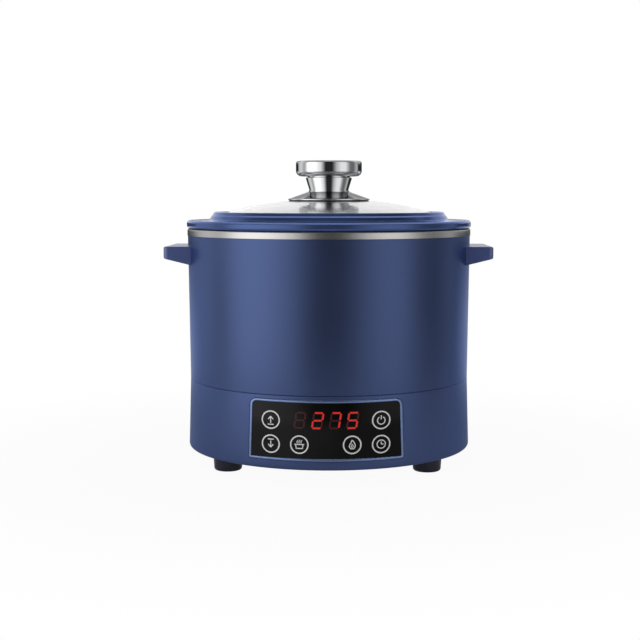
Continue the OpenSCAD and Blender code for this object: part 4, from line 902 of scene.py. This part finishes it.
def floorPaint():
    paint = bpy.data.materials.new("pale_floor")
    paint.use_nodes = True
    tree = paint.node_tree
    tree.nodes.clear()
    out = tree.nodes.new("ShaderNodeOutputMaterial")
    mix = tree.nodes.new("ShaderNodeMixShader")
    matt = tree.nodes.new("ShaderNodeBsdfDiffuse")
    matt.inputs[0].default_value = (*[floorLook["grey"]] * 3, 1)
    white = tree.nodes.new("ShaderNodeEmission")
    white.inputs[0].default_value = (1, 1, 1, 1)
    path = tree.nodes.new("ShaderNodeLightPath")
    away = tree.nodes.new("ShaderNodeVectorMath")  # distance from the middle of the floor
    away.operation = "LENGTH"
    tree.links.new(tree.nodes.new("ShaderNodeTexCoord").outputs["Object"], away.inputs[0])
    fade = rangeNode(tree, away.outputs["Value"], floorLook["near"], floorLook["far"], floorLook["seenNear"], 1.0)
    under = tree.nodes.new("ShaderNodeNewGeometry").outputs["Backfacing"]  # seen through from below
    plain = mathNode(tree, "MAXIMUM", path.outputs["Is Camera Ray"], path.outputs["Is Transmission Ray"])
    mirrored = mathNode(tree, "MULTIPLY", path.outputs["Is Glossy Ray"], floorLook["inGloss"])
    share = mathNode(tree, "MAXIMUM", mathNode(tree, "MULTIPLY", plain, fade), mirrored)
    tree.links.new(share, mix.inputs[0])
    tree.links.new(matt.outputs[0], mix.inputs[1])
    tree.links.new(white.outputs[0], mix.inputs[2])
    clear = tree.nodes.new("ShaderNodeMixShader")
    tree.links.new(under, clear.inputs[0])
    tree.links.new(mix.outputs[0], clear.inputs[1])
    tree.links.new(tree.nodes.new("ShaderNodeBsdfTransparent").outputs[0], clear.inputs[2])
    tree.links.new(clear.outputs[0], out.inputs[0])
    return paint


floorMesh.materials.append(floorPaint())

studio = {
    "gain": 2.06, "boxTop": 46, "boxEdge": 16, "top": 0.15, "topFrom": 48, "topTo": 70,
    "hoop": 1.8, "hoopFrom": 40, "hoopTo": 48, "hoopSoft": 2,
    "backFrom": 118, "backTo": 140, "back": 1.0, "backFoot": 1.6, "backRise": 5, "backHigh": 0.2,
    "fadeFrom": 32, "fadeTo": 40, "low": 1.0, "lowFrom": -5, "lowTo": -2.5,
    "sides": [  # direction from the front, level
        (-180, 0.02), (-136, 0.02), (-128, 0.36), (-108, 0.36), (-100, 0.22), (-90, 0.22), (-82, 0.50), (-72, 0.66),
        (-55, 0.66), (-40, 0.52), (-26, 0.36), (-18, 0.14), (-11, 0.01), (13, 0.01), (20, 0.09), (28, 0.24),
        (45, 0.42), (62, 0.42), (72, 0.22), (82, 0.08), (98, 0.07), (108, 0.19), (118, 0.25), (126, 0.02),
        (150, 0.02), (157, 0.25), (168, 0.25), (176, 0.02),
    ],
}


def studioLight():
    world = bpy.data.worlds.new("studio")
    bpy.context.scene.world = world
    world.use_nodes = True
    tree = world.node_tree
    tree.nodes.clear()

    def calc(operation, first, second=0.0):
        return mathNode(tree, operation, first, second)

    def smooth(value, start, end, low, high):
        return rangeNode(tree, value, start, end, low, high, "SMOOTHSTEP")

    place = tree.nodes.new("ShaderNodeTexCoord")
    parts = tree.nodes.new("ShaderNodeSeparateXYZ")
    tree.links.new(place.outputs["Generated"], parts.inputs[0])
    x, y, z = parts.outputs
    toDegrees = 180 / math.pi
    turn = calc("MULTIPLY", calc("ARCTAN2", x, calc("MULTIPLY", y, -1.0)), toDegrees)
    rise = calc("MULTIPLY", calc("ARCSINE", z), toDegrees)
    profile = tree.nodes.new("ShaderNodeValToRGB")
    stops = profile.color_ramp.elements
    while len(stops) < len(studio["sides"]):
        stops.new(1.0)
    for stop, (direction, level) in zip(stops, studio["sides"]):
        stop.position = (direction + 180) / 360
        stop.color = (level, level, level, 1)
    tree.links.new(calc("DIVIDE", calc("ADD", turn, 180.0), 360.0), profile.inputs[0])
    low = smooth(rise, studio["boxTop"] - studio["boxEdge"], studio["boxTop"], studio["gain"], 0.0)
    light = calc("MULTIPLY", profile.outputs[0], low)
    behind = smooth(calc("ABSOLUTE", turn), studio["backFrom"], studio["backTo"], 0.0, 1.0)
    wall = calc("MULTIPLY", smooth(rise, studio["backFoot"], studio["backRise"], 0.0, studio["back"]),
                smooth(rise, studio["fadeFrom"], studio["fadeTo"], 1.0, studio["backHigh"]))
    ground = smooth(rise, studio["lowFrom"], studio["lowTo"], studio["low"], 0.0)
    light = calc("MAXIMUM", light, calc("MULTIPLY", behind, calc("MAXIMUM", wall, ground)))
    light = calc("MAXIMUM", light, smooth(rise, studio["topFrom"], studio["topTo"], 0.0, studio["top"]))
    depth = calc("SUBTRACT", y, 1.0)  # a hoop of light stands over and behind the lid
    across = calc("SQRT", calc("ADD", calc("MULTIPLY", x, x), calc("MULTIPLY", depth, depth)))
    lean = calc("MULTIPLY", calc("ARCTAN2", z, across), toDegrees)
    start, end, soft = studio["hoopFrom"], studio["hoopTo"], studio["hoopSoft"]
    hoop = calc("MULTIPLY", smooth(lean, start, start + soft, 0.0, studio["hoop"]),
                smooth(lean, end - soft, end, 1.0, 0.0))
    light = calc("MAXIMUM", light, hoop)
    path = tree.nodes.new("ShaderNodeLightPath")
    seen = calc("MAXIMUM", path.outputs["Is Camera Ray"], path.outputs["Is Transmission Ray"])
    strength = calc("ADD", calc("MULTIPLY", light, calc("SUBTRACT", 1.0, seen)), seen)
    shine = tree.nodes.new("ShaderNodeBackground")
    shine.inputs["Color"].default_value = (1, 1, 1, 1)
    out = tree.nodes.new("ShaderNodeOutputWorld")
    tree.links.new(strength, shine.inputs["Strength"])
    tree.links.new(shine.outputs[0], out.inputs[0])


studioLight()
bpy.context.scene.view_settings.view_transform = "Standard"
print("camera, floor and light set")
